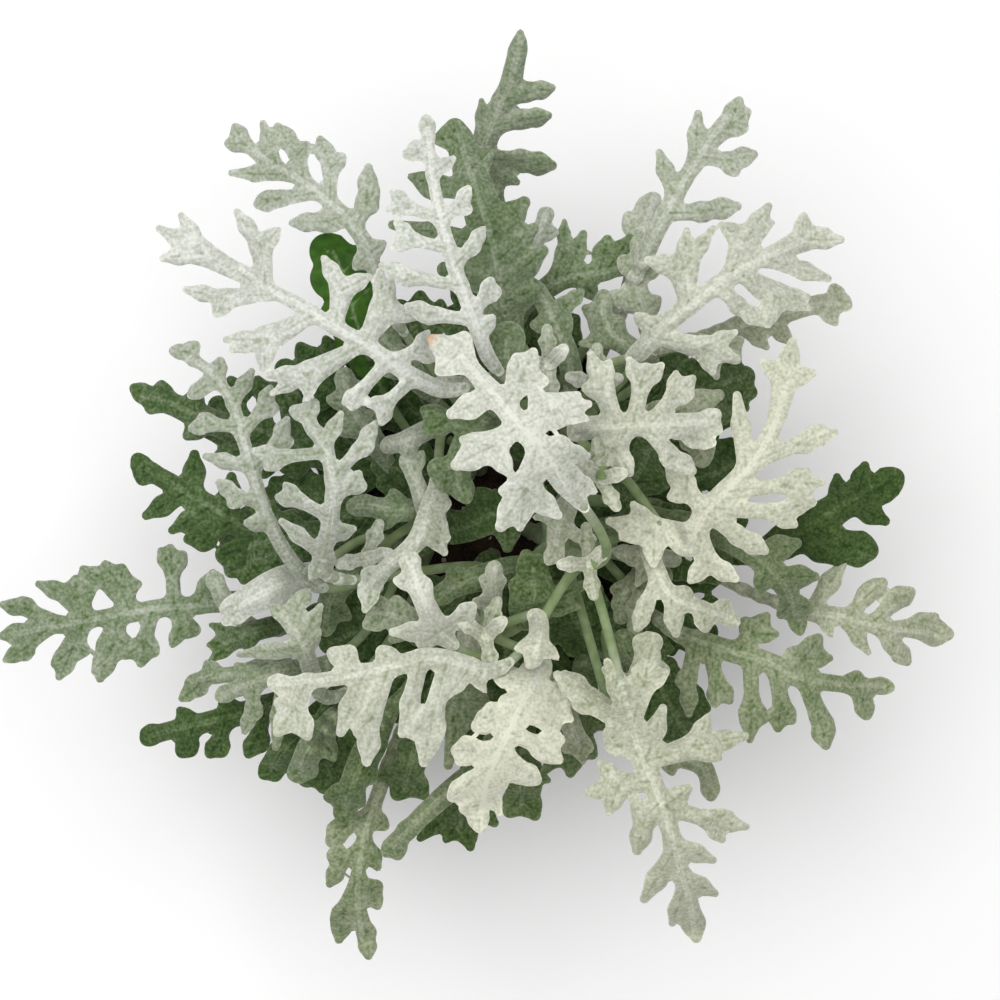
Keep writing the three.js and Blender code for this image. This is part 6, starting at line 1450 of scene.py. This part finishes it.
for share, paint in ((woody, "#6b5f43"), (scar.outputs["Result"], "#c2c8ae")):
    color = add_node(tree, MIX, {FACTOR: share, FIRST: color, SECOND: linear(paint)},
                     data_type="RGBA").outputs[MIXED]
bump = add_node(tree, "ShaderNodeBump", {"Height": hairs, "Strength": 0.5, "Distance": 0.15 * MM})
shader = add_node(tree, "ShaderNodeBsdfPrincipled", {
    "Base Color": color, "Normal": bump.outputs["Normal"], "Roughness": 0.8, "IOR": 1.4,
    "Sheen Weight": 0.1})
tree.links.new(shader.outputs["BSDF"], output.inputs["Surface"])
print("shoot:", len(tree.nodes), "nodes")

# %% [markdown]
# ### Peat and perlite
# The mix is damp peat and bark, dark brown and browner on its crumbs and fibres, with chalk-white
# perlite. Where the clod noise is low, which is also where the bump sinks, it is near black: partly
# the damp peat's own colour and partly painted shade in the hollows. A crumb's grain value says
# whether it is peat or perlite, so bed and crumbs share one finish.

# %% peat and perlite
peat_finish, tree, output = start_material("peat_and_perlite")
position = add_node(tree, "ShaderNodeTexCoord").outputs["Object"]
grain = add_node(tree, "ShaderNodeAttribute", attribute_name="grain").outputs["Fac"]
fibres = add_node(tree, NOISE, {"Vector": position, "Scale": BLOB_1MM / 0.5, "Detail": 4.0}).outputs["Fac"]
clods = add_node(tree, NOISE, {"Vector": position, "Scale": BLOB_1MM / 2.5, "Detail": 4.0}).outputs["Fac"]
color = linear("#17110c")
# first row: low clod noise, where the bump sinks, stays near black, partly the peat's own colour and partly
# painted shade in the hollows
for source, low, high, most, paint in (
        (clods, 0.35, 0.65, 1.0, "#3a2a1c"), (fibres, 0.55, 0.75, 0.6, "#5b4630"),
        (grain, 0.7, 0.9, 1.0, "#cfcabd")):
    share = add_node(tree, MAP, {"Value": source, "From Min": low, "From Max": high, "To Max": most})
    color = add_node(tree, MIX, {FACTOR: share.outputs["Result"], FIRST: color, SECOND: linear(paint)},
                     data_type="RGBA").outputs[MIXED]
relief = add_node(tree, MATH, {0: fibres, 1: clods}, operation="ADD").outputs[0]
bump = add_node(tree, "ShaderNodeBump", {"Height": relief, "Strength": 0.8, "Distance": 0.5 * MM})
shader = add_node(tree, "ShaderNodeBsdfPrincipled", {
    "Base Color": color, "Normal": bump.outputs["Normal"], "Roughness": 0.95, "IOR": 1.45})
tree.links.new(shader.outputs["BSDF"], output.inputs["Surface"])
print("peat:", len(tree.nodes), "nodes")

# %% [markdown]
# ### Black polypropylene
# The pot is thin moulded polypropylene, satin and faintly orange-peeled from the mould. Dust and
# splashed soil dull it, more towards the rim.

# %% black plastic
POT_TOP = 0.095
pot_finish, tree, output = start_material("black_polypropylene")
position = add_node(tree, "ShaderNodeTexCoord").outputs["Object"]
peel = add_node(tree, NOISE, {"Vector": position, "Scale": BLOB_1MM / 0.8, "Detail": 2.0}).outputs["Fac"]
dust = add_node(tree, NOISE, {"Vector": position, "Scale": BLOB_1MM / 9.0, "Detail": 5.0}).outputs["Fac"]
height = add_node(tree, "ShaderNodeSeparateXYZ", {"Vector": position}).outputs["Z"]
cloud = add_node(tree, MAP, {"Value": dust, "From Min": 0.45, "From Max": 0.75,
                             "To Min": 0.05, "To Max": 0.5})
upper = add_node(tree, MAP, {"Value": height, "From Max": POT_TOP, "To Min": 0.3, "To Max": 0.8})
dusty = add_node(tree, MATH, {0: cloud.outputs["Result"], 1: upper.outputs["Result"]},
                 operation="MULTIPLY").outputs[0]
color = add_node(tree, MIX, {FACTOR: dusty, FIRST: linear("#141516"), SECOND: linear("#3a3834")},
                 data_type="RGBA").outputs[MIXED]
bump = add_node(tree, "ShaderNodeBump", {"Height": peel, "Strength": 0.25, "Distance": 0.05 * MM})
shader = add_node(tree, "ShaderNodeBsdfPrincipled", {
    "Base Color": color, "Normal": bump.outputs["Normal"], "Roughness": 0.42, "IOR": 1.49,
    "Specular IOR Level": 0.5})
tree.links.new(shader.outputs["BSDF"], output.inputs["Surface"])
print("black plastic:", len(tree.nodes), "nodes")

# %% put the finishes on
finished = ((leaf_objects, leaf_finish), (stem_objects, stem_finish), ((bed, crumbs), peat_finish),
            ((pot,), pot_finish))
for pieces, finish in finished:
    for made in pieces:
        made.data.materials.append(finish)
    print(finish.name, "on", len(pieces), "pieces")

# %% [markdown]
# ## Floor, light and camera
# The plant stands on a plain pale floor, 6 m square so that no edge is seen. One large soft box
# high on the north-west side gives the soft shadow, and an even white world lifts it. The camera
# looks straight down from the height that the plan is drawn for. Its lens is set so that 270 mm
# at the plan's level fill the picture, since a lens of 36 mm sees as wide as it is far away.

# %% floor
FLOOR_HALF = 3.0
floor = make_object("floor", [[-FLOOR_HALF, -FLOOR_HALF, 0], [FLOOR_HALF, -FLOOR_HALF, 0],
                              [FLOOR_HALF, FLOOR_HALF, 0], [-FLOOR_HALF, FLOOR_HALF, 0]], [[0, 1, 2, 3]])
floor_material, tree, output = start_material("pale_floor")
shader = add_node(tree, "ShaderNodeBsdfPrincipled", {"Base Color": linear("#f9f9f9"), "Roughness": 0.9})
tree.links.new(shader.outputs["BSDF"], output.inputs["Surface"])
floor.data.materials.append(floor_material)
print("floor", 2 * FLOOR_HALF, "m square")

# %% light
WORLD_STRENGTH = 0.36
BOX_PLACE = (-0.2, 0.27, 1.9)
BOX_TARGET = (0, 0, 0.1)
BOX_SIZE = 1.6
BOX_POWER = 34
world = bpy.data.worlds.new("studio")
bpy.context.scene.world = world
world.use_nodes = True
world.node_tree.nodes["Background"].inputs["Color"].default_value = (1, 1, 1, 1)
world.node_tree.nodes["Background"].inputs["Strength"].default_value = WORLD_STRENGTH
box_data = bpy.data.lights.new("soft_box", "AREA")
box_data.size = BOX_SIZE
box_data.energy = BOX_POWER
soft_box = bpy.data.objects.new("soft_box", box_data)
bpy.context.scene.collection.objects.link(soft_box)
soft_box.location = BOX_PLACE
aim = np.array(BOX_TARGET) - np.array(BOX_PLACE)
tilt = math.acos(-aim[2] / np.linalg.norm(aim))
soft_box.rotation_euler = (tilt, 0, math.atan2(aim[0], -aim[1]) + math.pi)
print("soft box", BOX_SIZE, "m wide, tilted", round(math.degrees(tilt)), "degrees")

# %% camera
SENSOR = 36
VIEW_WIDTH = 270
camera_data = bpy.data.cameras.new("camera")
camera_data.lens = SENSOR * (EYE_HEIGHT - PLAN_HEIGHT) / VIEW_WIDTH
camera_data.shift_y = 0.01
camera = bpy.data.objects.new("camera", camera_data)
camera.location = (0, 0, EYE_HEIGHT * MM)
bpy.context.scene.collection.objects.link(camera)
bpy.context.scene.camera = camera
bpy.context.scene.view_settings.view_transform = "Standard"
print("lens", round(camera_data.lens, 2), "mm")
